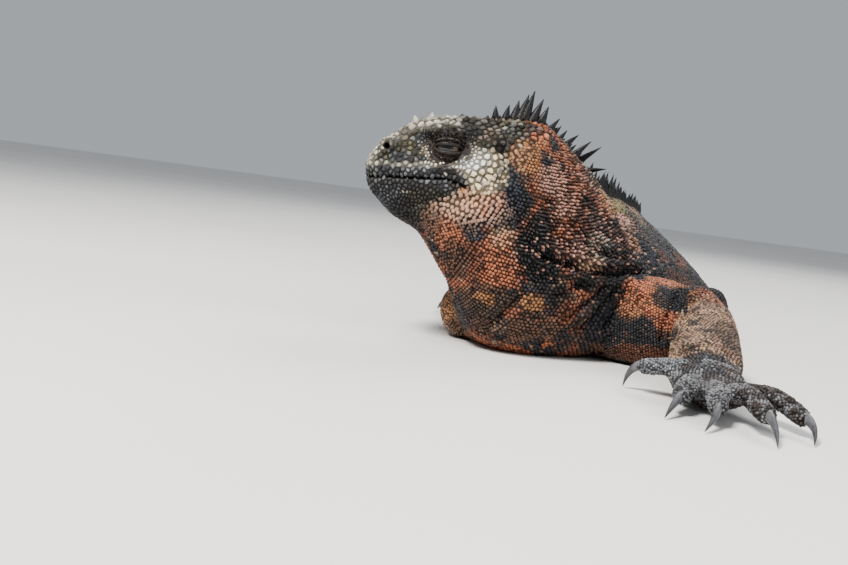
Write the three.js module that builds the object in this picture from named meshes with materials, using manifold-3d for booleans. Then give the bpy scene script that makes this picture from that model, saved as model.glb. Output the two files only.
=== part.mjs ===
// Marine iguana lying at rest, life size, in millimetres with +Z up.
// The head end of the trunk points to -Y, the animal's left is +X, and z = 0 is the floor.
import * as THREE from "three";
import { mergeVertices } from "three/addons/utils/BufferGeometryUtils.js";
import Module from "manifold-3d";

const wasm = await Module();
wasm.setup();

// Driving sizes
const gap = 0.32;               // clear space between two touching parts
const bodySides = 26;           // corners of a trunk, neck or head section
const tailSides = 12;
const limbSides = 12;
const clawSides = 5;
const eyeRadius = 5.6;
const spineThickness = 2.6;     // across the body, at the root
const clearEnd = 3.4;           // bare crest at each end of a part
const tallSpine = 8.5;          // spines over this height have a waist ring
const floorDepth = 40;          // how far below the floor the trimming block reaches

// The head has its own line: s runs forward from the ear, z is the height above the floor.
const headOrigin = new THREE.Vector3(-28, -35, 0);
const headYaw = 75.3;           // degrees that the head is turned to the animal's right
const mouth = { back: 24, front: 70, height: 69.2, slit: 0.7, depth: 2.4 };
const eyePlace = { s: 30.8, z: 83.4, sunk: 3.9 };
const earPlace = { s: 8.6, z: 71, width: 5.4, height: 7.6, depth: 2.4 };
const nostrilPlace = { s: 56.4, z: 81.4, radius: 1.4, depth: 3 };

// Stations of the head, front to back: top s and z, bottom s and z, half width, boxiness of the sides
const headStations = [
  [64.7, 72.6, 63.6, 67.4, 5.2, 0.8],
  [64.0, 75.2, 62.6, 63.8, 8.6, 0.75],
  [61.8, 79.8, 60.2, 61.0, 11.2, 0.72],
  [57.8, 84.2, 56.8, 57.6, 13.3, 0.7],
  [52.3, 89.0, 51.6, 53.2, 15.0, 0.7],
  [46.3, 92.8, 47.0, 51.0, 16.7, 0.72],
  [40.0, 95.6, 43.0, 49.4, 18.4, 0.74],
  [32.6, 96.9, 39.4, 47.8, 20.3, 0.76],
  [25.0, 97.5, 36.4, 44.2, 22.0, 0.8],
  [16.6, 98.0, 33.4, 39.8, 23.4, 0.84],
  [8.0, 98.8, 30.2, 35.6, 24.4, 0.88],
  [-0.6, 99.4, 27.2, 31.8, 25.0, 0.92],
  [-9.6, 98.9, 24.0, 28.0, 25.6, 0.96],
];

// Stations of neck, trunk and tail: top point, bottom point, yaw, half width,
// level of the widest place, roof shape of the upper side, steepness of it, roundness below
const bodyStations = [
  [-18.7, -32.6, 98.9, -51.2, -41.1, 28.0, 75.3, 25.6, 0.46, 0.96, 1.0, 0.96],
  [-15.0, -19.5, 94.6, -45.0, -38.2, 14.5, 60.0, 28.5, 0.44, 1.0, 1.0, 0.9],
  [-11.2, -7.0, 89.6, -38.0, -32.0, 3.5, 45.0, 32.5, 0.42, 1.1, 1.05, 0.8],
  [-8.2, 6.0, 85.0, -29.0, -22.5, -1.5, 32.0, 37.0, 0.4, 1.2, 1.1, 0.7],
  [-6.2, 20.0, 79.4, -18.0, -7.0, -2.5, 23.0, 42.0, 0.38, 1.35, 1.15, 0.62],
  [-2.8, 35.0, 76.2, -7.0, 19.0, -2.5, 17.5, 46.5, 0.36, 1.5, 1.2, 0.58],
  [1.8, 51.0, 75.0, 0.0, 43.0, -2.5, 15.0, 50.5, 0.35, 1.65, 1.25, 0.56],
  [7.4, 71.0, 74.0, 6.8, 67.0, -2.5, 13.0, 53.5, 0.34, 1.75, 1.3, 0.55],
  [14.0, 94.0, 71.8, 12.8, 92.0, -2.5, 9.0, 54.5, 0.34, 2.1, 1.4, 0.55],
  [18.0, 119.0, 69.0, 16.6, 118.0, -2.5, 3.0, 54.0, 0.34, 2.35, 1.5, 0.55],
  [18.2, 145.0, 63.0, 17.4, 145.0, -2.5, -5.0, 52.0, 0.34, 2.2, 1.45, 0.56],
  [14.2, 172.0, 58.8, 14.2, 172.0, -2.5, -11.0, 47.5, 0.35, 1.9, 1.35, 0.58],
  [7.8, 198.0, 56.0, 7.8, 198.0, -2.5, -14.0, 41.5, 0.36, 1.5, 1.2, 0.62],
  [0.8, 222.0, 52.6, 0.8, 222.0, -2.5, -15.0, 34.0, 0.38, 1.3, 1.15, 0.66],
  [-5.6, 246.0, 49.0, -5.6, 246.0, -2.2, -14.0, 26.5, 0.4, 1.2, 1.1, 0.7],
  [-11.4, 270.0, 44.2, -11.4, 270.0, -1.9, -12.0, 20.0, 0.42, 1.15, 1.1, 0.74],
  [-16.0, 295.0, 40.0, -16.0, 295.0, -1.6, -8.0, 16.2, 0.43, 1.1, 1.05, 0.78],
  [-19.0, 325.0, 36.4, -19.0, 325.0, -1.4, -3.0, 13.6, 0.44, 1.1, 1.0, 0.8],
  [-19.4, 357.0, 33.4, -19.4, 357.0, -1.3, 4.0, 11.8, 0.44, 1.1, 1.0, 0.82],
  [-16.0, 390.0, 30.6, -16.0, 390.0, -1.2, 10.0, 10.4, 0.45, 1.1, 1.0, 0.84],
  [-8.6, 423.0, 28.0, -8.6, 423.0, -1.1, 16.0, 9.2, 0.45, 1.1, 1.0, 0.84],
  [2.6, 455.0, 25.4, 2.6, 455.0, -1.0, 21.0, 8.1, 0.45, 1.1, 1.0, 0.84],
  [16.0, 486.0, 22.6, 16.0, 486.0, -1.0, 24.0, 7.1, 0.46, 1.1, 1.0, 0.86],
  [30.6, 517.0, 19.8, 30.6, 517.0, -0.9, 24.0, 6.1, 0.46, 1.1, 1.0, 0.86],
  [44.4, 549.0, 16.9, 44.4, 549.0, -0.8, 21.0, 5.2, 0.47, 1.1, 1.0, 0.88],
  [56.0, 582.0, 13.9, 56.0, 582.0, -0.7, 17.0, 4.3, 0.48, 1.05, 1.0, 0.9],
  [65.0, 616.0, 10.8, 65.0, 616.0, -0.6, 12.0, 3.4, 0.5, 1.0, 1.0, 0.92],
  [71.0, 650.0, 7.6, 71.0, 650.0, -0.5, 7.0, 2.5, 0.5, 1.0, 1.0, 0.95],
  [73.6, 684.0, 4.0, 73.6, 684.0, -0.4, 3.0, 1.5, 0.5, 1.0, 1.0, 1.0],
];

// Which stretch of the stations each trunk and tail part covers, and how finely it is cut
const bodyParts = [
  { name: "neck", from: 0, to: 3, steps: 10, sides: bodySides },
  { name: "torso", from: 3, to: 14, steps: 18, sides: bodySides },
  { name: "tail_base", from: 14, to: 18, steps: 6, sides: tailSides },
  { name: "tail_middle", from: 18, to: 22, steps: 6, sides: tailSides },
  { name: "tail_rear", from: 22, to: 25, steps: 6, sides: tailSides },
  { name: "tail_tip", from: 25, to: 28, steps: 6, sides: tailSides },
];

// Nape spines behind the head: distance along the crest, height, backward lean, and how far
// the tip falls to the animal's left
const neckRun = 42.4;
const napeSpines = [
  { at: 3.4, tall: 6, lean: 1.6, fall: 2 },
  { at: 8.4, tall: 4.4, lean: 1, fall: 2.5 },
  { at: 14.6, tall: 5.4, lean: 1, fall: 2.2 },
  { at: 21, tall: 7.6, lean: 1.6, fall: 4.2 },
  { at: 26.6, tall: 5, lean: 1, fall: 2 },
  { at: 32, tall: 9.8, lean: 2, fall: 6.4 },
  { at: 38.4, tall: 9.8, lean: 1.6, fall: 10.4 },
  { at: 47.4, tall: 4.6, lean: 2.4, fall: 12.6 },
  { at: 53.2, tall: 5.4, lean: 1.6, fall: 3 },
];

// Crown spines on the back of the head, at s
const crownSpines = [
  { s: 12.6, tall: 6.2, lean: -0.8 },
  { s: 8.6, tall: 6.8, lean: 0.2 },
  { s: 5, tall: 8.8, lean: 1.4 },
  { s: 2.6, tall: 11.6, lean: 2.4 },
  { s: 0.6, tall: 13.4, lean: 2.8 },
  { s: -2.8, tall: 10.6, lean: 2.6 },
  { s: -6.4, tall: 7.8, lean: 2.4 },
];

// Limbs: centre points of each length with half width and half height
const limbs = {
  left_arm: {
    upper: [[2, 4, 20, 15, 17], [22, -5, 19.5, 15.5, 19.5], [40, -9, 21.5, 15, 20], [54, -10, 24.5, 12.5, 15]],
    lower: [[58, -14, 23.6, 12.5, 12.5], [58.6, -34, 18.5, 13.8, 12.4], [59, -54, 13, 14, 11], [59, -62, 11.4, 13, 10]],
  },
  right_arm: {
    upper: [[-14, 8, 20, 13, 17], [-30, -3, 17, 13, 15.5], [-42, -12, 14, 12, 13.5]],
    lower: [[-47.5, -15, 12.6, 11, 12.6], [-53.5, 6, 11.6, 10, 11], [-57.5, 28, 9.6, 9, 8.5]],
  },
  left_leg: {
    upper: [[14, 214, 22, 15, 16], [36, 201, 19, 15, 16.5], [57, 183, 16.5, 13, 14.5]],
    lower: [[68.5, 173, 15, 11, 13.5], [71.5, 192, 12, 10, 11], [73, 212, 8.5, 8.5, 8]],
  },
  right_leg: {
    upper: [[-10, 216, 22, 15, 16], [-28, 204, 19, 15, 16.5], [-44, 184, 15.5, 13, 14]],
    lower: [[-54, 173, 13.5, 11, 13], [-61, 191, 11.5, 10, 11], [-66, 210, 8.5, 8.5, 8]],
  },
};

// The left hand as it lies: palm, then each digit from the palm to the foot of its claw, and the claw tip
const leftHand = {
  palm: [[59, -66, 10.4, 13, 9], [60, -76, 8.4, 14.5, 7.6], [61, -84, 7, 12.5, 6.2]],
  digits: [
    { path: [[56, -73, 9.5], [47, -73.5, 11], [38.6, -71.5, 8.8]], tip: [29.4, -66.9, 0.7] },
    { path: [[55, -80, 8], [52.5, -90, 9.5], [50, -99, 6.6]], tip: [45.6, -110.6, 0.7] },
    { path: [[60, -83, 8], [61.5, -97, 10], [62, -107, 6.8]], tip: [58.2, -120, 0.7] },
    { path: [[66, -82, 8], [72, -97, 10.5], [77, -109, 7.6]], tip: [80.1, -123.1, 0.7] },
    { path: [[69, -77, 8], [81, -88, 10], [90, -97.5, 6.6]], tip: [92.6, -110.5, 0.7] },
  ],
};

// Hidden hands and feet: digit lengths to the foot of the claw, and how far each is turned out
const handPattern = { palm: 14, lengths: [15, 21, 25, 26, 19], spread: [-26, -12, 0, 11, 22], claw: 10 };
const footPattern = { palm: 22, lengths: [17, 25, 34, 42, 26], spread: [-34, -16, -2, 10, 30], claw: 12 };
const paws = [
  { name: "right_hand", pattern: handPattern, wrist: [-60, 34, 8], heading: 96, width: 9, side: -1 },
  { name: "left_foot", pattern: footPattern, wrist: [73.5, 218, 7.4], heading: 99, width: 10, side: -1 },
  { name: "right_foot", pattern: footPattern, wrist: [-67.4, 216, 7.4], heading: 93, width: 10.5, side: 1 },
];

const colours = {
  head: 0x9a9a86, eye: 0x15110d, neck: 0x8c4a2e, trunk: 0x4a3a30, tail: 0x3a322c,
  arm: 0x7a4e34, leg: 0x453a33, hand: 0x35302c, claw: 0x8d8478,
};

// Seeded numbers, so that each build is the same
let seed = 20611;
function random() {
  seed = (seed * 1103515245 + 12345) % 2147483648;
  return seed / 2147483648;
}

function mix(a, b, t) {
  return a + (b - a) * t;
}

// One row of a station table at any place between its rows, by a Catmull-Rom curve
function stationAt(table, place) {
  const last = table.length - 1;
  const index = Math.min(Math.floor(place), last - 1);
  const t = place - index;
  const rows = [-1, 0, 1, 2].map((step) => table[Math.min(Math.max(index + step, 0), last)]);
  return rows[0].map((_, column) => {
    const [p0, p1, p2, p3] = rows.map((row) => row[column]);
    const bend = 2 * p0 - 5 * p1 + 4 * p2 - p3 + t * (3 * p1 - p0 - 3 * p2 + p3);
    return p1 + 0.5 * t * (p2 - p0 + t * bend);
  });
}

// The section of a body station: a ring in the plane of its top, its bottom and its left
function sectionRing(section, sides, grow = 0) {
  const { top, bottom, left, half, widest, roof, steep, belly } = section;
  const axis = top.clone().sub(bottom);
  const length = axis.length();
  axis.normalize();
  const middle = bottom.clone().addScaledVector(axis, length * widest);
  const ring = [];
  for (let corner = 0; corner < sides; corner += 1) {
    const angle = (2 * Math.PI * corner) / sides + Math.PI / 2;
    const rise = Math.sin(angle);
    const reach = Math.cos(angle);
    const upper = rise >= 0;
    const tall = (upper ? length * (1 - widest) : length * widest) + grow;
    const height = Math.sign(rise) * tall * Math.abs(rise) ** (upper ? steep : 1);
    const width = Math.sign(reach) * (half + grow) * Math.abs(reach) ** (upper ? roof : belly);
    ring.push(middle.clone().addScaledVector(axis, height).addScaledVector(left, width));
  }
  return ring;
}

function leftOf(yaw) {
  const angle = THREE.MathUtils.degToRad(yaw);
  return new THREE.Vector3(Math.cos(angle), -Math.sin(angle), 0);
}

function bodySection(place) {
  const row = stationAt(bodyStations, place);
  return {
    top: new THREE.Vector3(row[0], row[1], row[2]),
    bottom: new THREE.Vector3(row[3], row[4], row[5]),
    left: leftOf(row[6]),
    half: row[7],
    widest: row[8],
    roof: row[9],
    steep: row[10],
    belly: row[11],
  };
}

const headLeft = leftOf(headYaw);
const headForward = new THREE.Vector3(0, 0, 1).cross(headLeft).negate();

function headPoint(s, side, z) {
  return headOrigin.clone().addScaledVector(headForward, s).addScaledVector(headLeft, side).setZ(z);
}

function headSection(place, shrink = 0) {
  const row = stationAt(headStations, place);
  return {
    top: headPoint(row[0], 0, row[1] - shrink),
    bottom: headPoint(row[2], 0, row[3] + shrink),
    left: headLeft,
    half: row[4] - shrink,
    widest: 0.46,
    roof: row[5],
    steep: 1,
    belly: row[5],
  };
}

// Half width of the head at a given s and z, found on its stations
function headHalfWidth(s, z) {
  let low = 0;
  let high = headStations.length - 1;
  let half = 0;
  for (let turn = 0; turn < 24; turn += 1) {
    const place = (low + high) / 2;
    const row = stationAt(headStations, place);
    const level = (z - row[3]) / (row[1] - row[3]);
    if (mix(row[2], row[0], level) > s) {
      low = place;
    } else {
      high = place;
    }
    const rise = level >= 0.46 ? (level - 0.46) / 0.54 : (0.46 - level) / 0.46;
    half = row[4] * Math.sqrt(Math.max(1 - Math.min(rise, 1) ** 2, 0)) ** row[5];
  }
  return half;
}

function headTop(s) {
  let low = 0;
  let high = headStations.length - 1;
  for (let turn = 0; turn < 24; turn += 1) {
    const place = (low + high) / 2;
    if (stationAt(headStations, place)[0] > s) {
      low = place;
    } else {
      high = place;
    }
  }
  return stationAt(headStations, low)[1];
}

// A closed geometry through rings of equal count, with flat ends
function loftGeometry(rings) {
  const count = rings[0].length;
  const points = rings.flat();
  const faces = [];
  for (let ring = 0; ring < rings.length - 1; ring += 1) {
    for (let corner = 0; corner < count; corner += 1) {
      const a = ring * count + corner;
      const b = ring * count + ((corner + 1) % count);
      faces.push(a, b, a + count, b, b + count, a + count);
    }
  }
  const lastRing = points.length - count;
  if (count <= 8) {
    for (let corner = 1; corner < count - 1; corner += 1) {
      faces.push(0, corner + 1, corner, lastRing, lastRing + corner, lastRing + corner + 1);
    }
  } else {
    const start = points.length;
    [rings[0], rings[rings.length - 1]].forEach((ring) => {
      const centre = new THREE.Vector3();
      ring.forEach((point) => centre.add(point));
      points.push(centre.divideScalar(count));
    });
    for (let corner = 0; corner < count; corner += 1) {
      const next = (corner + 1) % count;
      faces.push(start, next, corner, start + 1, lastRing + corner, lastRing + next);
    }
  }
  const geometry = new THREE.BufferGeometry();
  geometry.setAttribute("position", new THREE.Float32BufferAttribute(points.flatMap((p) => p.toArray()), 3));
  geometry.setIndex(faces);
  return geometry;
}

// A manifold solid of a closed geometry, turned outside out where it is inside out
function solidOf(source) {
  const bare = source.clone();
  bare.deleteAttribute("normal");
  bare.deleteAttribute("uv");
  const merged = mergeVertices(bare, 1e-4);
  const points = merged.getAttribute("position");
  const index = Array.from(merged.getIndex().array);
  const corners = [0, 1, 2].map(() => new THREE.Vector3());
  let volume = 0;
  for (let i = 0; i < index.length; i += 3) {
    corners.forEach((corner, k) => corner.fromBufferAttribute(points, index[i + k]));
    volume += corners[0].dot(corners[1].clone().cross(corners[2]));
  }
  if (volume < 0) {
    for (let i = 0; i < index.length; i += 3) {
      [index[i], index[i + 1]] = [index[i + 1], index[i]];
    }
  }
  return new wasm.Manifold(new wasm.Mesh({
    numProp: 3,
    vertProperties: new Float32Array(points.array),
    triVerts: new Uint32Array(index),
  }));
}

function placedSolid(source, matrix) {
  return solidOf(source.clone().applyMatrix4(matrix));
}

function largestPiece(solid) {
  return solid.decompose().sort((a, b) => b.volume() - a.volume())[0];
}

const floorBlock = placedSolid(
  new THREE.BoxGeometry(2000, 2000, floorDepth),
  new THREE.Matrix4().makeTranslation(0, 300, -floorDepth / 2),
);

const iguana = new THREE.Group();

function addNode(name, solid, colour, roughness = 0.8) {
  const mesh = largestPiece(solid.subtract(floorBlock)).getMesh();
  const geometry = new THREE.BufferGeometry();
  geometry.setAttribute("position", new THREE.Float32BufferAttribute(mesh.vertProperties, 3));
  geometry.setIndex(Array.from(mesh.triVerts));
  geometry.computeVertexNormals();
  const material = new THREE.MeshStandardMaterial({ color: colour, roughness, metalness: 0 });
  const node = new THREE.Mesh(geometry, material);
  node.name = name;
  iguana.add(node);
}

// A spine or cone of flattened section, root sunk in and tip drawn out along its aim
function spineSolid({ root, aim, along, length, width, sink, grow = 0, sides = 4 }) {
  const height = aim.length();
  const up = aim.clone().normalize();
  const across = new THREE.Vector3().crossVectors(up, along).normalize();
  const level = new THREE.Vector3().crossVectors(across, up);
  const levels = [[-sink - grow, 1.05], [height * 0.5, 0.72], [height + grow, 0.12]];
  if (height < tallSpine) {
    levels.splice(1, 1);
  }
  const rings = levels.map(([reach, size]) => {
    const centre = root.clone().addScaledVector(up, reach);
    return Array.from({ length: sides }, (_, corner) => {
      const angle = (2 * Math.PI * (corner + 0.5)) / sides;
      const point = centre.clone().addScaledVector(level, (0.7 * length * size + grow * 1.5) * Math.cos(angle));
      return point.addScaledVector(across, (0.7 * width * size + grow * 1.5) * Math.sin(angle));
    });
  });
  return solidOf(loftGeometry(rings));
}

// Crest spines along the top line: a few named nape spines, then low ones on the back and tail
function crestHeight(place) {
  const back = 12 * Math.exp(-(((place - 5.2) / 3.2) ** 2));
  const rear = mix(6.4, 1.8, Math.min(Math.max((place - 8) / 20, 0), 1));
  return Math.max(back, rear);
}

// Each spine of one part: place along the part, distance, height, lean and sideways fall
function crestRows(part) {
  const path = [];
  const pieces = 240;
  let run = 0;
  for (let i = 0; i <= pieces; i += 1) {
    const place = mix(part.from, part.to, i / pieces);
    const point = bodySection(place).top;
    run += i > 0 ? point.distanceTo(path[i - 1].point) : 0;
    path.push({ place, point, run });
  }
  const start = part.name === "neck" ? 0 : neckRun;
  const nape = part.to < 15 ? napeSpines.map((row) => ({ ...row, at: row.at - start })) : [];
  const rows = nape.filter((row) => row.at > 0 && row.at < run - 2);
  const first = rows.length > 0 ? rows[rows.length - 1].at + 5 : clearEnd;
  const spacing = part.to < 15 ? 5 : 6.6;
  let at = part.name === "neck" ? run : first;
  while (at < run - clearEnd) {
    const tall = crestHeight(mix(part.from, part.to, at / run)) * mix(0.78, 1.12, random());
    rows.push({ at, tall, lean: tall * mix(0.15, 0.4, random()), fall: tall * mix(-0.1, 0.1, random()) });
    at += Math.max(spacing, tall * 0.56) * mix(1, 1.16, random());
  }
  return rows.map((row) => {
    const i = path.findIndex((entry) => entry.run >= row.at);
    const before = path[Math.max(i - 4, 0)].point;
    const along = path[Math.min(i + 4, pieces)].point.clone().sub(before).normalize();
    const section = bodySection(path[i].place);
    const up = section.top.clone().sub(section.bottom).normalize();
    up.addScaledVector(along, -up.dot(along)).normalize();
    const aim = up.clone().multiplyScalar(row.tall).addScaledVector(section.left, row.fall)
      .addScaledVector(along, Math.min(row.lean, run - row.at - 2.4));
    return { root: path[i].point, aim, along };
  });
}

function crestSolids(rows, grow = 0) {
  return rows.map((row) => {
    const height = row.aim.length();
    return spineSolid({
      ...row,
      length: Math.min(4.6, 2.2 + height * 0.34),
      width: Math.min(spineThickness, 1.3 + height * 0.16),
      sink: Math.min(2.4, 1 + height * 0.15),
      grow,
    });
  });
}

function bodyRings(part, grow = 0) {
  const rings = [];
  for (let step = 0; step <= part.steps; step += 1) {
    const place = mix(part.from, part.to, step / part.steps);
    rings.push(sectionRing(bodySection(place), part.sides, grow));
  }
  return rings;
}

function ringNormal(ring) {
  const a = ring[Math.floor(ring.length / 4)].clone().sub(ring[0]);
  const b = ring[Math.floor((3 * ring.length) / 4)].clone().sub(ring[0]);
  return a.cross(b).normalize();
}

// The first ring of a part keeps clear of the part before it, and a grown copy reaches past both ends
function shiftedRings(rings, first, last) {
  const towards = rings[rings.length - 1][0].clone().sub(rings[0][0]);
  const ends = [[0, first], [rings.length - 1, last]];
  ends.forEach(([index, shift]) => {
    const normal = ringNormal(rings[index]);
    if (normal.dot(towards) < 0) {
      normal.negate();
    }
    rings[index].forEach((point) => point.addScaledVector(normal, shift));
  });
  return rings;
}

// The head: skull and jaws with brow, lids, lips, nostrils, ear cups and horn cones
function ellipsoidSolid(centre, radii, yaw, detail) {
  const matrix = new THREE.Matrix4().compose(
    centre,
    new THREE.Quaternion().setFromAxisAngle(new THREE.Vector3(0, 0, 1), THREE.MathUtils.degToRad(yaw)),
    new THREE.Vector3(...radii),
  );
  return placedSolid(new THREE.IcosahedronGeometry(1, detail), matrix);
}

// Ellipsoids on the head take radii forward, sideways and up
function headBall(s, side, z, radii, detail = 2) {
  return ellipsoidSolid(headPoint(s, side, z), radii, 270 - headYaw, detail);
}

function buildHead() {
  const steps = 16;
  const rings = [];
  const core = [];
  for (let step = 0; step <= steps; step += 1) {
    const place = mix(0, headStations.length - 1, step / steps);
    rings.push(sectionRing(headSection(place), bodySides));
    core.push(sectionRing(headSection(place, mouth.depth), bodySides));
  }
  const added = [solidOf(loftGeometry(rings))];
  const removed = [];
  const slab = placedSolid(
    new THREE.BoxGeometry(mouth.front - mouth.back, 70, mouth.slit),
    new THREE.Matrix4().makeRotationZ(THREE.MathUtils.degToRad(270 - headYaw))
      .setPosition(headPoint((mouth.front + mouth.back) / 2, 0, mouth.height)),
  );
  removed.push(slab.subtract(solidOf(loftGeometry(core.slice(2)))));
  [-1, 1].forEach((side) => {
    const eyeSide = side * (headHalfWidth(eyePlace.s, eyePlace.z) - eyePlace.sunk);
    const lidRadius = eyeRadius + 1.3;
    added.push(headBall(eyePlace.s, eyeSide, eyePlace.z, [lidRadius + 1.2, lidRadius - 0.4, lidRadius - 0.6]));
    added.push(headBall(eyePlace.s + 1, eyeSide - side * 2, eyePlace.z + 6.4, [10.5, 5.4, 3.4], 1));
    removed.push(headBall(eyePlace.s, eyeSide, eyePlace.z, Array(3).fill(eyeRadius + gap)));
    removed.push(headBall(eyePlace.s, eyeSide + side * 6, eyePlace.z - 0.2, [6.2, 5, 2.7], 1));
    const earSide = side * (headHalfWidth(earPlace.s, earPlace.z) + 0.5);
    removed.push(headBall(earPlace.s, earSide, earPlace.z,
      [earPlace.width / 2, earPlace.depth, earPlace.height / 2], 1));
    const noseSide = side * headHalfWidth(nostrilPlace.s, nostrilPlace.z);
    const rim = nostrilPlace.radius + 1.5;
    added.push(headBall(nostrilPlace.s, noseSide - side * 0.8, nostrilPlace.z, [rim, 1.9, rim], 1));
    removed.push(headBall(nostrilPlace.s, noseSide + side * 0.4, nostrilPlace.z,
      [nostrilPlace.radius, nostrilPlace.depth, nostrilPlace.radius], 1));
    [[3.3, 2.5], [-2.7, 2]].forEach(([rise, thick]) => {
      const lip = [28, 37, 46, 54, 60.4].map((s) => {
        const z = mouth.height + rise;
        const point = headPoint(s, side * (headHalfWidth(s, z) - thick * 0.5), z);
        return [...point.toArray(), thick * 0.8, thick];
      });
      added.push(limbSolid(lip, { sides: 6, steps: 6 }));
    });
  });
  const whole = wasm.Manifold.union([...added, ...headCones()]);
  return removed.reduce((solid, tool) => solid.subtract(tool), whole);
}

// Horn cones of the snout and crown, in rows across the head, tallest over the brow
function headCones() {
  const cones = [];
  const rows = [
    { s: 60.5, sides: [-4.2, 4.2], height: 1.8 },
    { s: 56.6, sides: [-8, 0, 8], height: 2.2 },
    { s: 52.4, sides: [-5, 5], height: 2.6 },
    { s: 48.2, sides: [-10, 0, 10], height: 2.8 },
    { s: 44, sides: [-5.4, 5.4], height: 3.2 },
    { s: 39.4, sides: [-10.6, 0, 10.6], height: 3.6 },
    { s: 34, sides: [-5, 5], height: 2.4 },
    { s: 28, sides: [-9, 0, 9], height: 2 },
    { s: 21, sides: [-5, 5], height: 1.8 },
  ];
  rows.forEach((row) => row.sides.forEach((side) => {
    const crown = headTop(row.s);
    const slope = (headTop(row.s - 1.5) - headTop(row.s + 1.5)) / 3;
    let z = crown;
    while (z > crown - 14 && headHalfWidth(row.s, z) < Math.abs(side) + 0.4) {
      z -= 0.2;
    }
    const up = new THREE.Vector3(0, 0, 1).addScaledVector(headForward, slope)
      .addScaledVector(headLeft, side / 22).normalize();
    cones.push(spineSolid({
      root: headPoint(row.s, side, z),
      aim: up.multiplyScalar(row.height * mix(0.85, 1.15, random())),
      along: headForward.clone().negate(),
      length: 4.4,
      width: 4,
      sink: 1.6,
    }));
  }));
  crownSpines.forEach(({ s, tall, lean }) => cones.push(spineSolid({
    root: headPoint(s, 0, headTop(s)),
    aim: new THREE.Vector3(0, 0, tall).addScaledVector(headForward, -lean),
    along: headForward.clone().negate(),
    length: 3.8,
    width: spineThickness,
    sink: 2,
  })));
  return cones;
}

addNode("head", buildHead(), colours.head);
["left", "right"].forEach((word, index) => {
  const side = index === 0 ? 1 : -1;
  const eyeSide = side * (headHalfWidth(eyePlace.s, eyePlace.z) - eyePlace.sunk);
  addNode(`eye_${word}`, headBall(eyePlace.s, eyeSide, eyePlace.z, Array(3).fill(eyeRadius)), colours.eye, 0.15);
});

// Neck, trunk and tail, each cut back by the part before it, grown by the gap
const headRings = [8, 9, 10, 11, 12].map((place) => sectionRing(headSection(place), bodySides, gap));
let grownBefore = solidOf(loftGeometry(shiftedRings(headRings, 0, gap)));
const grownBody = {};
bodyParts.forEach((part) => {
  const rings = shiftedRings(bodyRings(part), gap, 0);
  const solid = solidOf(loftGeometry(rings));
  const rows = crestRows(part);
  const crest = wasm.Manifold.union([solid, ...crestSolids(rows)]).subtract(grownBefore);
  grownBody[part.name] = solidOf(loftGeometry(shiftedRings(bodyRings(part, gap), 0, gap)));
  grownBefore = wasm.Manifold.union([grownBody[part.name], ...crestSolids(rows.slice(-2), gap)]);
  addNode(part.name, crest, part.name === "neck" ? colours.neck : colours.trunk);
});

// A length of limb or digit through rows of centre, half width and half height, with round ends
function limbSolid(rows, { sides = limbSides, steps = 5, grow = 0, ends = [1, 1] } = {}) {
  const curve = new THREE.CatmullRomCurve3(rows.map((row) => new THREE.Vector3(row[0], row[1], row[2])));
  const ringAt = (t, push = 0, scale = 1) => {
    const tangent = curve.getTangent(t);
    const across = new THREE.Vector3().crossVectors(tangent, new THREE.Vector3(0, 0, 1)).normalize();
    const over = new THREE.Vector3().crossVectors(across, tangent);
    const at = t * (rows.length - 1);
    const index = Math.min(Math.floor(at), rows.length - 2);
    const width = (mix(rows[index][3], rows[index + 1][3], at - index) + grow) * scale;
    const height = (mix(rows[index][4], rows[index + 1][4], at - index) + grow) * scale;
    const centre = curve.getPoint(t).addScaledVector(tangent, push);
    return Array.from({ length: sides }, (_, corner) => {
      const angle = (2 * Math.PI * corner) / sides;
      const point = centre.clone().addScaledVector(across, width * Math.cos(angle));
      return point.addScaledVector(over, height * Math.sin(angle));
    });
  };
  const rings = [];
  const bulge = (row) => Math.min(row[3], row[4]) + grow;
  const caps = [[0.92, 0.39], [0.6, 0.8]];
  if (ends[0]) {
    caps.forEach(([reach, scale]) => rings.push(ringAt(0, -reach * bulge(rows[0]), scale)));
  }
  for (let step = 0; step <= steps; step += 1) {
    const push = step === 0 && !ends[0] ? -grow : 0;
    rings.push(ringAt(step / steps, step === steps && !ends[1] ? grow : push));
  }
  if (ends[1]) {
    caps.slice().reverse().forEach(([reach, scale]) => {
      rings.push(ringAt(1, reach * bulge(rows[rows.length - 1]), scale));
    });
  }
  return solidOf(loftGeometry(rings));
}

// A claw: a curved cone that starts a gap beyond the end of its digit
function clawSolid(path, tip, radius) {
  const end = new THREE.Vector3(...path[path.length - 1]);
  const before = new THREE.Vector3(...path[path.length - 2]);
  const direction = end.clone().sub(before).normalize();
  const curve = new THREE.CatmullRomCurve3(path.map((point) => new THREE.Vector3(...point)));
  const tangent = curve.getTangent(1);
  const start = end.clone().addScaledVector(tangent, gap);
  const target = new THREE.Vector3(...tip);
  const reach = start.distanceTo(target);
  const knee = start.clone().addScaledVector(tangent, reach * 0.3).addScaledVector(direction, reach * 0.1);
  knee.z += 0.6;
  const arc = new THREE.QuadraticBezierCurve3(start, knee, target);
  const sizes = [1, 0.88, 0.6, 0.16];
  const rings = sizes.map((size, index) => {
    const t = index / (sizes.length - 1);
    const aim = index === 0 ? tangent : arc.getTangent(t);
    const across = new THREE.Vector3().crossVectors(aim, new THREE.Vector3(0, 0, 1)).normalize();
    const over = new THREE.Vector3().crossVectors(across, aim);
    const centre = arc.getPoint(t);
    return Array.from({ length: clawSides }, (_, corner) => {
      const angle = (2 * Math.PI * (corner + 0.5)) / clawSides;
      const point = centre.clone().addScaledVector(across, radius * 0.8 * size * Math.cos(angle));
      return point.addScaledVector(over, radius * 1.1 * size * Math.sin(angle));
    });
  });
  return solidOf(loftGeometry(rings));
}

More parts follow.
